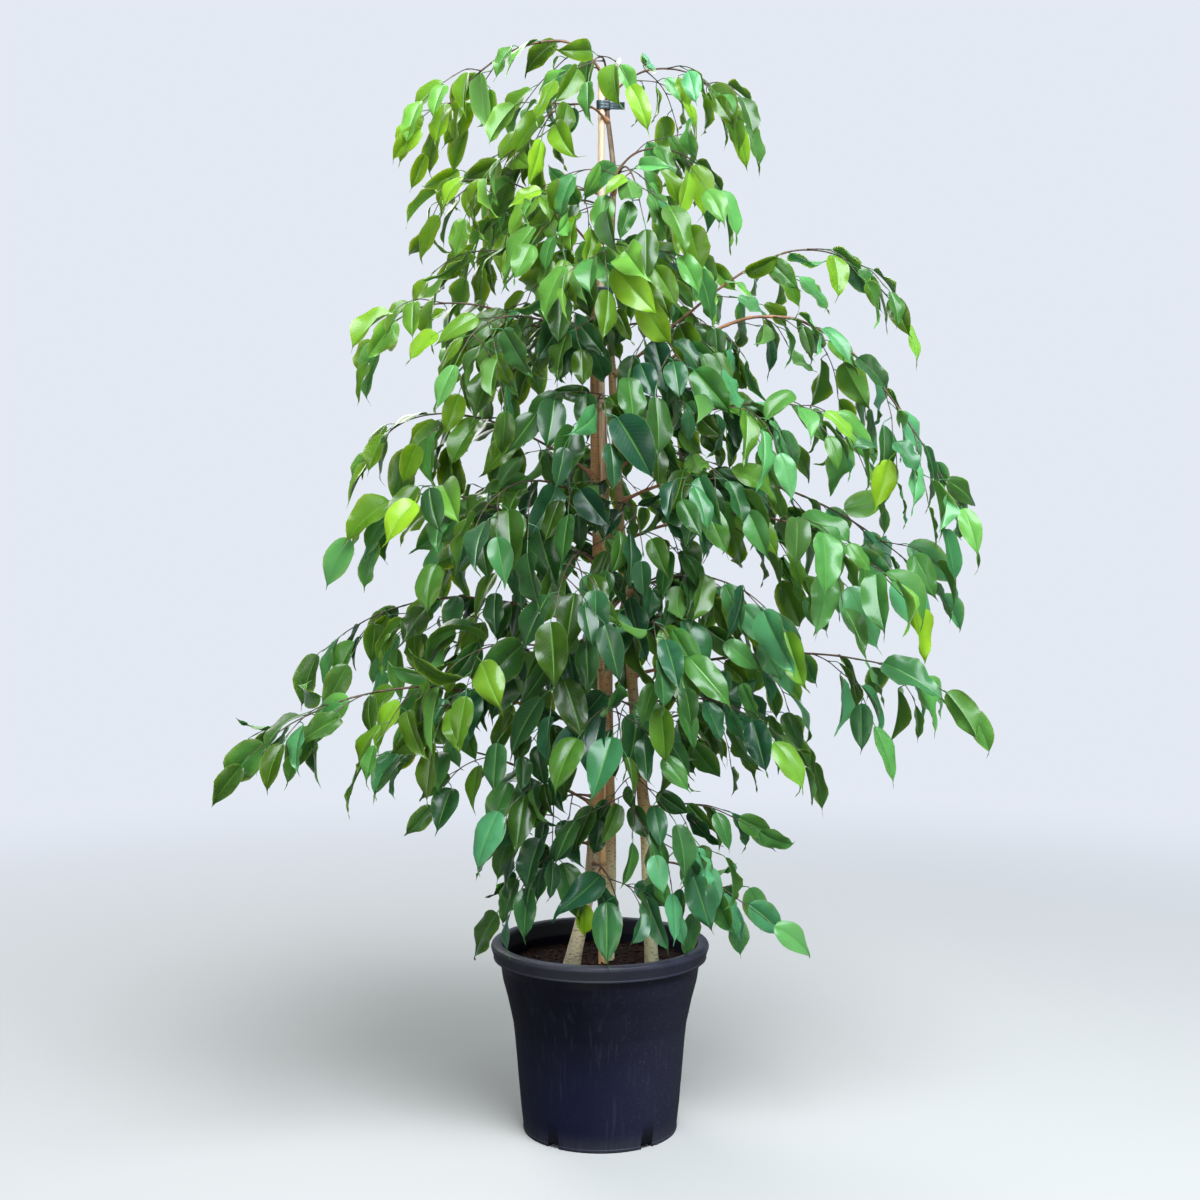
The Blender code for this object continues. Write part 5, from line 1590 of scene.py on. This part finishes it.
def cut_notches(piece):
    """Cuts the drain openings into the pot's bottom edge."""
    cutters = []
    for k in range(NOTCHES):
        turn = math.radians(NOTCH_TURN + k * 360 / NOTCHES)
        bpy.ops.mesh.primitive_cube_add(size=1)
        cutter = bpy.context.object
        cutter.scale = (NOTCH_LENGTH, NOTCH_WIDTH, NOTCH_HEIGHT * 2)
        cutter.rotation_euler.z = turn
        cutter.location = (BASE_RADIUS * math.cos(turn), BASE_RADIUS * math.sin(turn), 0)
        corner = cutter.modifiers.new("corners", "BEVEL")
        corner.width = NOTCH_CORNER
        corner.segments = 3
        modifier = piece.modifiers.new("notch", "BOOLEAN")
        modifier.operation = "DIFFERENCE"
        modifier.solver = "EXACT"
        modifier.object = cutter
        cutters.append(cutter)
    graph = bpy.context.evaluated_depsgraph_get()
    cut = bpy.data.meshes.new_from_object(piece.evaluated_get(graph))
    piece.modifiers.clear()
    piece.data = cut
    for cutter in cutters:
        bpy.data.objects.remove(cutter)


# ---- Materials ----

materials = {}


class Wiring:
    """A node tree being wired up. Inputs are given as values or as other nodes' outputs."""

    def __init__(self, tree):
        self.tree = tree

    def find(self, kind):
        return next(node for node in self.tree.nodes if node.type == kind)

    def node(self, kind, **inputs):
        made = self.tree.nodes.new(kind)
        for name, value in inputs.items():
            self.put(made.inputs[name.replace("_", " ")], value)
        return made

    def put(self, socket, value):
        if isinstance(value, bpy.types.NodeSocket):
            self.tree.links.new(value, socket)
        elif socket.type == "RGBA":
            socket.default_value = (*value, 1)
        else:
            socket.default_value = value

    def math(self, operation, a, b=0.0, clamp=False):
        made = self.node("ShaderNodeMath")
        made.operation = operation
        made.use_clamp = clamp
        self.put(made.inputs[0], a)
        self.put(made.inputs[1], b)
        return made.outputs[0]

    def times(self, a, b):
        return self.math("MULTIPLY", a, b)

    def plus(self, a, b, clamp=False):
        return self.math("ADD", a, b, clamp)

    def less(self, a, b):
        return self.math("SUBTRACT", a, b)

    def rise(self, value, low, high):
        """Zero at low, one at high, smooth between. low may be above high."""
        ends = {"To_Min": 0.0, "To_Max": 1.0} if low < high else {"To_Min": 1.0, "To_Max": 0.0}
        ends |= {"From_Min": min(low, high), "From_Max": max(low, high)}
        made = self.node("ShaderNodeMapRange", Value=value, **ends)
        made.interpolation_type = "SMOOTHSTEP"
        return made.outputs["Result"]

    def mix(self, share, a, b, blend="MIX"):
        made = self.node("ShaderNodeMix", Factor=share)
        made.data_type = "RGBA"
        made.blend_type = blend
        self.put(made.inputs[6], a)
        self.put(made.inputs[7], b)
        return made.outputs[2]

    def parts(self, vector):
        return self.node("ShaderNodeSeparateXYZ", Vector=vector).outputs

    def far(self, point, centre=None):
        """How far a point is from a centre, or else from the origin."""
        made = self.node("ShaderNodeVectorMath")
        made.operation = "DISTANCE" if centre else "LENGTH"
        self.put(made.inputs[0], point)
        if centre:
            self.put(made.inputs[1], centre)
        return made.outputs["Value"]

    def seen(self):
        """One for what the camera looks at, and zero for what only lights something."""
        return self.node("ShaderNodeLightPath").outputs["Is Camera Ray"]


class Paint(Wiring):
    """A Principled material being wired up. Its colour is laid on in layers."""

    def __init__(self, name, **plain):
        self.material = bpy.data.materials.new(name)
        self.material.use_nodes = True
        super().__init__(self.material.node_tree)
        self.shader = self.find("BSDF_PRINCIPLED")
        for socket, value in plain.items():
            self.shader.inputs[socket.replace("_", " ")].default_value = value

    def place(self):
        """The UV place as across and along."""
        uv = self.node("ShaderNodeUVMap")
        uv.uv_map = "Place"
        return self.parts(uv.outputs[0])[:2]

    def marks(self):
        mark = self.node("ShaderNodeAttribute")
        mark.attribute_name = "mark"
        split = self.node("ShaderNodeSeparateColor", Color=mark.outputs["Color"])
        return *split.outputs[:3], mark.outputs["Alpha"]

    def spot(self, *scale):
        """The place in space, stretched."""
        where = self.node("ShaderNodeTexCoord").outputs["Object"]
        return self.node("ShaderNodeMapping", Vector=where, Scale=scale or (1, 1, 1)).outputs[0]

    def noise(self, vector, scale, detail=3.0, roughness=0.5):
        settings = {"Scale": scale, "Detail": detail, "Roughness": roughness}
        return self.node("ShaderNodeTexNoise", Vector=vector, **settings).outputs[0]

    def base(self, share, a, b):
        """The lowest layer: one colour fading into another."""
        self.colour = self.mix(share, a, b)

    def over(self, share, tint, strength=None, blend="MIX"):
        """A layer of tint where share is above zero, thinned to strength."""
        if strength is not None:
            share = self.times(share, strength)
        self.colour = self.mix(share, self.colour, tint, blend)

    def bump(self, height, strength, distance):
        made = self.node("ShaderNodeBump", Height=height, Strength=strength, Distance=distance)
        self.put(self.shader.inputs["Normal"], made.outputs[0])

    def done(self, roughness):
        self.put(self.shader.inputs["Base Color"], self.colour)
        self.put(self.shader.inputs["Roughness"], roughness)
        return self.material


# Greens from deep to light: the leaf's own tone, and through the light mark also painted shade and painted
# light.
LEAF_DEEP = (0.0105, 0.044, 0.0100)
LEAF_MID = (0.037, 0.140, 0.024)
LEAF_LIGHT = (0.088, 0.285, 0.056)
LEAF_YOUNG = (0.205, 0.375, 0.011)
LEAF_RIB = (0.130, 0.300, 0.050)
LEAF_MARGIN = (0.240, 0.400, 0.110)
LEAF_UNDER = (0.080, 0.195, 0.032)
# Tints multiplied into the green: a painted teal sheen, and a painted olive backlight.
LEAF_PAINTED_SHEEN = (0.80, 0.98, 2.2)
LEAF_PAINTED_BACKLIGHT = (1.8, 1.10, 0.25)
LEAF_VEINS = 17.0
LEAF_VEIN_SLANT = 3.2


def leaf_material():
    """Glossy green, deep to light by leaf tone and by painted light and shade, with a painted teal sheen and
    a painted olive backlight, yellower when young, with pale midrib, margin and side veins.
    """
    gloss = {"Coat_Weight": 0.22, "Coat_Roughness": 0.23, "Specular_IOR_Level": 0.18}
    depth = {"Subsurface_Weight": 0.30, "Subsurface_Scale": 0.0012, "Subsurface_Radius": (0.8, 1.0, 0.2)}
    p = Paint("fig_leaf", **gloss, **depth)
    light, young, under, sheen_and_backlight = p.marks()
    across, along = p.place()
    from_rib = p.times(p.math("ABSOLUTE", p.less(across, 0.5)), 2.0)
    cloud = p.noise(p.spot(), 45.0)
    fine = p.noise(p.spot(), 420.0, detail=2.0)
    # The light mark brings painted light and shade by place in the crown; the cloud adds random tone.
    tone = p.plus(light, p.times(p.less(cloud, 0.5), 0.34), clamp=True)
    p.base(p.rise(tone, 0.05, 0.55), LEAF_DEEP, LEAF_MID)
    p.over(p.rise(tone, 0.50, 1.0), LEAF_LIGHT)
    # Painted teal sheen where the mark is high, painted olive backlight where it is low.
    p.over(p.rise(sheen_and_backlight, 0.40, 0.90), LEAF_PAINTED_SHEEN, blend="MULTIPLY")
    p.over(p.rise(sheen_and_backlight, 0.40, 0.05), LEAF_PAINTED_BACKLIGHT, blend="MULTIPLY")
    p.over(young, LEAF_YOUNG)
    p.over(under, LEAF_UNDER, 0.70)
    slant = p.less(p.times(along, LEAF_VEINS), p.times(from_rib, LEAF_VEIN_SLANT))
    wave = p.math("SINE", p.times(slant, math.tau))
    vein = p.times(p.rise(wave, 0.72, 1.0), p.rise(from_rib, 1.0, 0.55))
    rib = p.rise(from_rib, 0.085, 0.02)
    p.over(vein, LEAF_RIB, 0.09)
    p.over(rib, LEAF_RIB, 0.48)
    p.over(p.rise(from_rib, 0.955, 0.995), LEAF_MARGIN, 0.3)
    height = p.less(p.plus(p.times(vein, -0.5), p.times(fine, 0.35)), p.times(rib, 0.9))
    p.bump(height, 0.35, 0.0004)
    return p.done(p.plus(p.plus(p.times(cloud, 0.16), 0.22), p.times(under, 0.22)))


def twig_material():
    """Dark purplish brown where thin, warmer tan where thick, greener towards the growing end."""
    p = Paint("fig_twig", Specular_IOR_Level=0.35)
    girth, tip, _, _ = p.marks()
    grain = p.noise(p.spot(), 260.0, detail=4.0)
    patch = p.noise(p.spot(), 60.0, detail=2.0)
    p.base(girth, (0.045, 0.026, 0.022), (0.420, 0.190, 0.085))
    p.over(tip, (0.085, 0.105, 0.035), 0.65)
    p.over(p.rise(grain, 0.45, 0.75), (0.160, 0.100, 0.065))
    p.over(p.rise(patch, 0.5, 0.7), (0.030, 0.018, 0.015), 0.4)
    p.bump(grain, 0.5, 0.0004)
    return p.done(p.plus(p.times(grain, 0.25), 0.45))


# The reddish scar on the front of the left trunk.
SCAR = (-0.0245, -0.0248, 0.316)


def bark_material():
    """Smooth tan bark with short level pores, patches of lichen green and a reddish scar."""
    p = Paint("fig_bark", Specular_IOR_Level=0.3)
    which, climb, high, _ = p.marks()
    pores = p.noise(p.spot(1, 1, 5), 150.0, detail=1.5)
    fine = p.noise(p.spot(), 700.0)
    patch = p.noise(p.spot(1, 1, 0.5), 38.0, detail=4.0)
    tan = p.mix(which, (0.920, 0.800, 0.540), (0.900, 0.840, 0.520))
    brown = p.mix(which, (0.520, 0.265, 0.110), (0.480, 0.320, 0.140))
    p.base(climb, tan, brown)
    p.over(high, (0.110, 0.062, 0.038))
    p.over(p.rise(patch, 0.50, 0.72), (0.235, 0.160, 0.085), 0.38)
    p.over(p.rise(patch, 0.46, 0.30), (0.520, 0.430, 0.290), 0.45)
    dash = p.rise(pores, 0.60, 0.65)
    p.over(dash, (0.075, 0.048, 0.030), 0.80)
    p.over(p.rise(p.far(p.spot(), SCAR), 0.009, 0.004), (0.210, 0.050, 0.032), 0.85)
    p.bump(p.plus(p.times(dash, 0.8), p.times(fine, 0.4)), 0.6, 0.0006)
    return p.done(p.plus(p.times(fine, 0.2), 0.58))


def cane_material():
    """Dry orange-tan cane with lengthwise streaks, paler towards its head, dark at its nodes."""
    p = Paint("bamboo_cane", Coat_Weight=0.1, Coat_Roughness=0.35)
    high, node, sawn, _ = p.marks()
    streak = p.noise(p.spot(1, 1, 0.02), 420.0)
    blotch = p.noise(p.spot(1, 1, 0.25), 55.0)
    p.base(high, (0.950, 0.580, 0.270), (0.800, 0.590, 0.410))
    p.over(p.rise(streak, 0.45, 0.72), (0.300, 0.140, 0.060), 0.55)
    p.over(p.rise(blotch, 0.52, 0.75), (0.700, 0.520, 0.330), 0.40)
    p.over(node, (0.220, 0.110, 0.050), 0.6)
    p.over(sawn, (0.560, 0.430, 0.270), 0.7)
    p.bump(streak, 0.35, 0.0003)
    return p.done(p.plus(p.times(blotch, 0.2), 0.32))


def strap_material():
    """Dark teal-grey rubber, slightly dusty."""
    p = Paint("tie_rubber", Specular_IOR_Level=0.5)
    dust = p.noise(p.spot(), 180.0, detail=4.0)
    p.base(p.rise(dust, 0.42, 0.75), (0.018, 0.034, 0.042), (0.085, 0.125, 0.130))
    p.bump(dust, 0.2, 0.0003)
    return p.done(p.plus(p.times(dust, 0.3), 0.22))


def mix_material():
    """Dark reddish-brown composted bark."""
    p = Paint("potting_mix", Specular_IOR_Level=0.08)
    crumb = p.noise(p.spot(), 320.0, detail=5.0, roughness=0.7)
    clod = p.noise(p.spot(), 70.0)
    p.base(p.rise(crumb, 0.38, 0.68), (0.0070, 0.0040, 0.0030), (0.0320, 0.0155, 0.0105))
    p.over(p.rise(clod, 0.45, 0.7), (0.030, 0.014, 0.012), 0.5)
    p.bump(p.plus(crumb, clod), 0.9, 0.0018)
    return p.done(p.plus(p.times(crumb, 0.15), 0.80))


def chip_material():
    """Chips of bark from near black to brown, some of them redder, with a faint grain."""
    p = Paint("bark_chips", Specular_IOR_Level=0.12)
    tone, red, _, _ = p.marks()
    grain = p.noise(p.spot(1, 3, 3), 260.0, detail=4.0)
    p.base(tone, (0.011, 0.006, 0.005), (0.055, 0.027, 0.019))
    p.over(red, (0.080, 0.022, 0.020), 0.4)
    p.over(p.rise(grain, 0.5, 0.75), (0.100, 0.060, 0.042), 0.4)
    p.bump(grain, 0.7, 0.0008)
    return p.done(p.plus(p.times(grain, 0.2), 0.68))


def pot_material():
    """Blue-black moulded plastic, greyer on the rim, with dull patches and long upright scuffs, and on its
    right side painted light with dust specks.
    """
    p = Paint("pot_plastic", Specular_IOR_Level=0.17)
    where = p.spot()
    x, _, z = p.parts(where)
    streak = p.noise(p.spot(1, 1, 0.035), 190.0)
    fine = p.noise(p.spot(1, 1, 0.15), 600.0)
    patch = p.noise(p.spot(1, 1, 0.6), 14.0)
    grit = p.noise(where, 1100.0, detail=2.0)
    rim_foot = POT_HEIGHT - RIM_BAND
    p.base(p.rise(z, 0.200, 0.060), (0.0036, 0.0038, 0.0100), (0.0080, 0.0090, 0.0270))
    p.over(p.rise(z, rim_foot - 0.002, rim_foot + 0.002), (0.030, 0.030, 0.038))
    scuff = p.times(p.rise(streak, 0.54, 0.70), p.rise(patch, 0.38, 0.62))
    p.over(scuff, (0.050, 0.050, 0.075), 0.20)
    p.over(p.rise(patch, 0.45, 0.70), (0.010, 0.011, 0.022), 0.35)
    p.over(p.rise(fine, 0.60, 0.75), (0.036, 0.037, 0.048), 0.22)
    # The right side is lightened as painted light, and carries dust specks as well.
    lit_side_and_dust = p.rise(x, -0.03, 0.12)
    p.over(lit_side_and_dust, (0.031, 0.030, 0.053), 0.55)
    specks = p.rise(p.noise(where, 420.0, detail=1.0), 0.68, 0.73)
    p.over(p.times(specks, lit_side_and_dust), (0.120, 0.115, 0.130), 0.5)
    p.over(p.times(p.rise(z, 0.030, 0.002), streak), (0.070, 0.068, 0.070), 0.6)
    p.bump(p.plus(p.times(grit, 0.5), p.times(streak, 0.5)), 0.22, 0.0005)
    return p.done(p.plus(p.plus(p.times(patch, 0.22), 0.30), p.times(scuff, 0.25)))


# ---- The scene ----

CAMERA_PLACE = (0.0, -2.29, 0.828)
CAMERA_LENS = 45.9
CAMERA_TILT = 0.94

FLOOR_SIZE = 24
FLOOR_COLOUR = (0.435, 0.420, 0.405)
FLOOR_BOUNCE = (0.08, 0.08, 0.08)
FLOOR_NEAR = 0.4
FLOOR_FAR = 3.6

SKY_COLOUR = (0.86, 0.91, 1.0)
SKY_LIGHT = (0.68, 0.85, 1.0)
SKY_SEEN = 0.90
SKY_LOW = 0.06
SKY_TOP = 0.58
SKY_WALL = 0.30

# The lamps, which face the middle of the crown: place, power, size and colour.
LAMPS = {
    "key": ((0.9, -1.9, 3.4), 300, 2.2, (0.86, 0.94, 1.0)),
    "rim": ((-1.2, 2.0, 2.6), 50, 1.8, (1.0, 0.98, 0.90)),
    "fill": ((-0.9, -3.2, 0.9), 34, 1.6, (1.0, 0.98, 0.94)),
}
LAMP_AIM = Vector((0, 0, 0.85))


def make_floor():
    """A pale floor that brightens into the backdrop far off."""
    bpy.ops.mesh.primitive_plane_add(size=FLOOR_SIZE)
    floor = bpy.context.object
    floor.name = "floor"
    p = Paint("floor_paint", Specular_IOR_Level=0.0)
    far = p.rise(p.far(p.spot()), FLOOR_NEAR, FLOOR_FAR)
    p.put(p.shader.inputs["Emission Color"], SKY_COLOUR)
    p.put(p.shader.inputs["Emission Strength"], p.times(far, SKY_SEEN))
    p.base(p.seen(), FLOOR_BOUNCE, FLOOR_COLOUR)
    p.over(far, (0, 0, 0))
    floor.data.materials.append(p.done(0.6))
    floor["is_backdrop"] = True


def make_sky():
    """An even pale backdrop to look at, which lights the plant softly from above and from behind it."""
    world = bpy.data.worlds.new("studio")
    bpy.context.scene.world = world
    world.use_nodes = True
    w = Wiring(world.node_tree)
    _, back, up = w.parts(w.node("ShaderNodeTexCoord").outputs["Generated"])
    top = w.node("ShaderNodeMapRange", Value=up, From_Min=0.0, From_Max=0.9, To_Max=SKY_TOP)
    wall = w.node("ShaderNodeMapRange", Value=back, From_Min=0.2, From_Max=0.8, To_Max=SKY_WALL)
    total = w.plus(w.plus(top.outputs["Result"], wall.outputs["Result"]), SKY_LOW)
    seen = w.seen()
    strength = w.node("ShaderNodeMix", Factor=seen, A=total, B=SKY_SEEN)
    background = w.find("BACKGROUND")
    w.put(background.inputs["Color"], w.mix(seen, SKY_LIGHT, SKY_COLOUR))
    w.put(background.inputs["Strength"], strength.outputs["Result"])


def placed(name, data, place, turn):
    made = bpy.data.objects.new(name, data)
    made.location = place
    made.rotation_euler = turn
    bpy.context.scene.collection.objects.link(made)
    return made


def make_stage():
    """The floor, the sky, the soft square lamps and the camera."""
    make_floor()
    make_sky()
    bpy.context.scene.view_settings.view_transform = "Standard"
    for name, (place, power, size, colour) in LAMPS.items():
        lamp = bpy.data.lights.new(name, "AREA")
        lamp.energy = power
        lamp.color = colour
        lamp.size = size
        placed(name, lamp, place, (LAMP_AIM - Vector(place)).to_track_quat("-Z", "Y").to_euler())
    camera = bpy.data.cameras.new("camera")
    camera.sensor_width = 36
    camera.lens = CAMERA_LENS
    turn = (math.radians(90 - CAMERA_TILT), 0, 0)
    bpy.context.scene.camera = placed("camera", camera, CAMERA_PLACE, turn)


def plain(box):
    return [list(corner) for corner in box]


def main():
    for old in list(bpy.data.objects):
        bpy.data.objects.remove(old)
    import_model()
    cad_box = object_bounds()
    make_stage()
    materials.update(leaf=leaf_material(), twig=twig_material(), bark=bark_material(), cane=cane_material())
    materials.update(strap=strap_material(), mix=mix_material(), chips=chip_material(), pot=pot_material())
    boughs = grow()
    fill_out(boughs)
    turning = yellow_leaves(boughs)
    roots = {name: [] for name in TRUNKS}
    for name, (trunk, wood) in boughs.items():
        roots[trunk].append((wood.points[0], wood.radii[0]))
        for piece in (make_wood(name, wood), make_leaves(name, wood, turning)):
            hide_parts(name)
    for name in TRUNKS:
        make_trunk(name, roots[name])
    make_cane()
    for name in TIES:
        make_strap(name)
    make_soil()
    make_chips()
    make_pot()
    {"cad": plain(cad_box), "visual": plain(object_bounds())}


main()
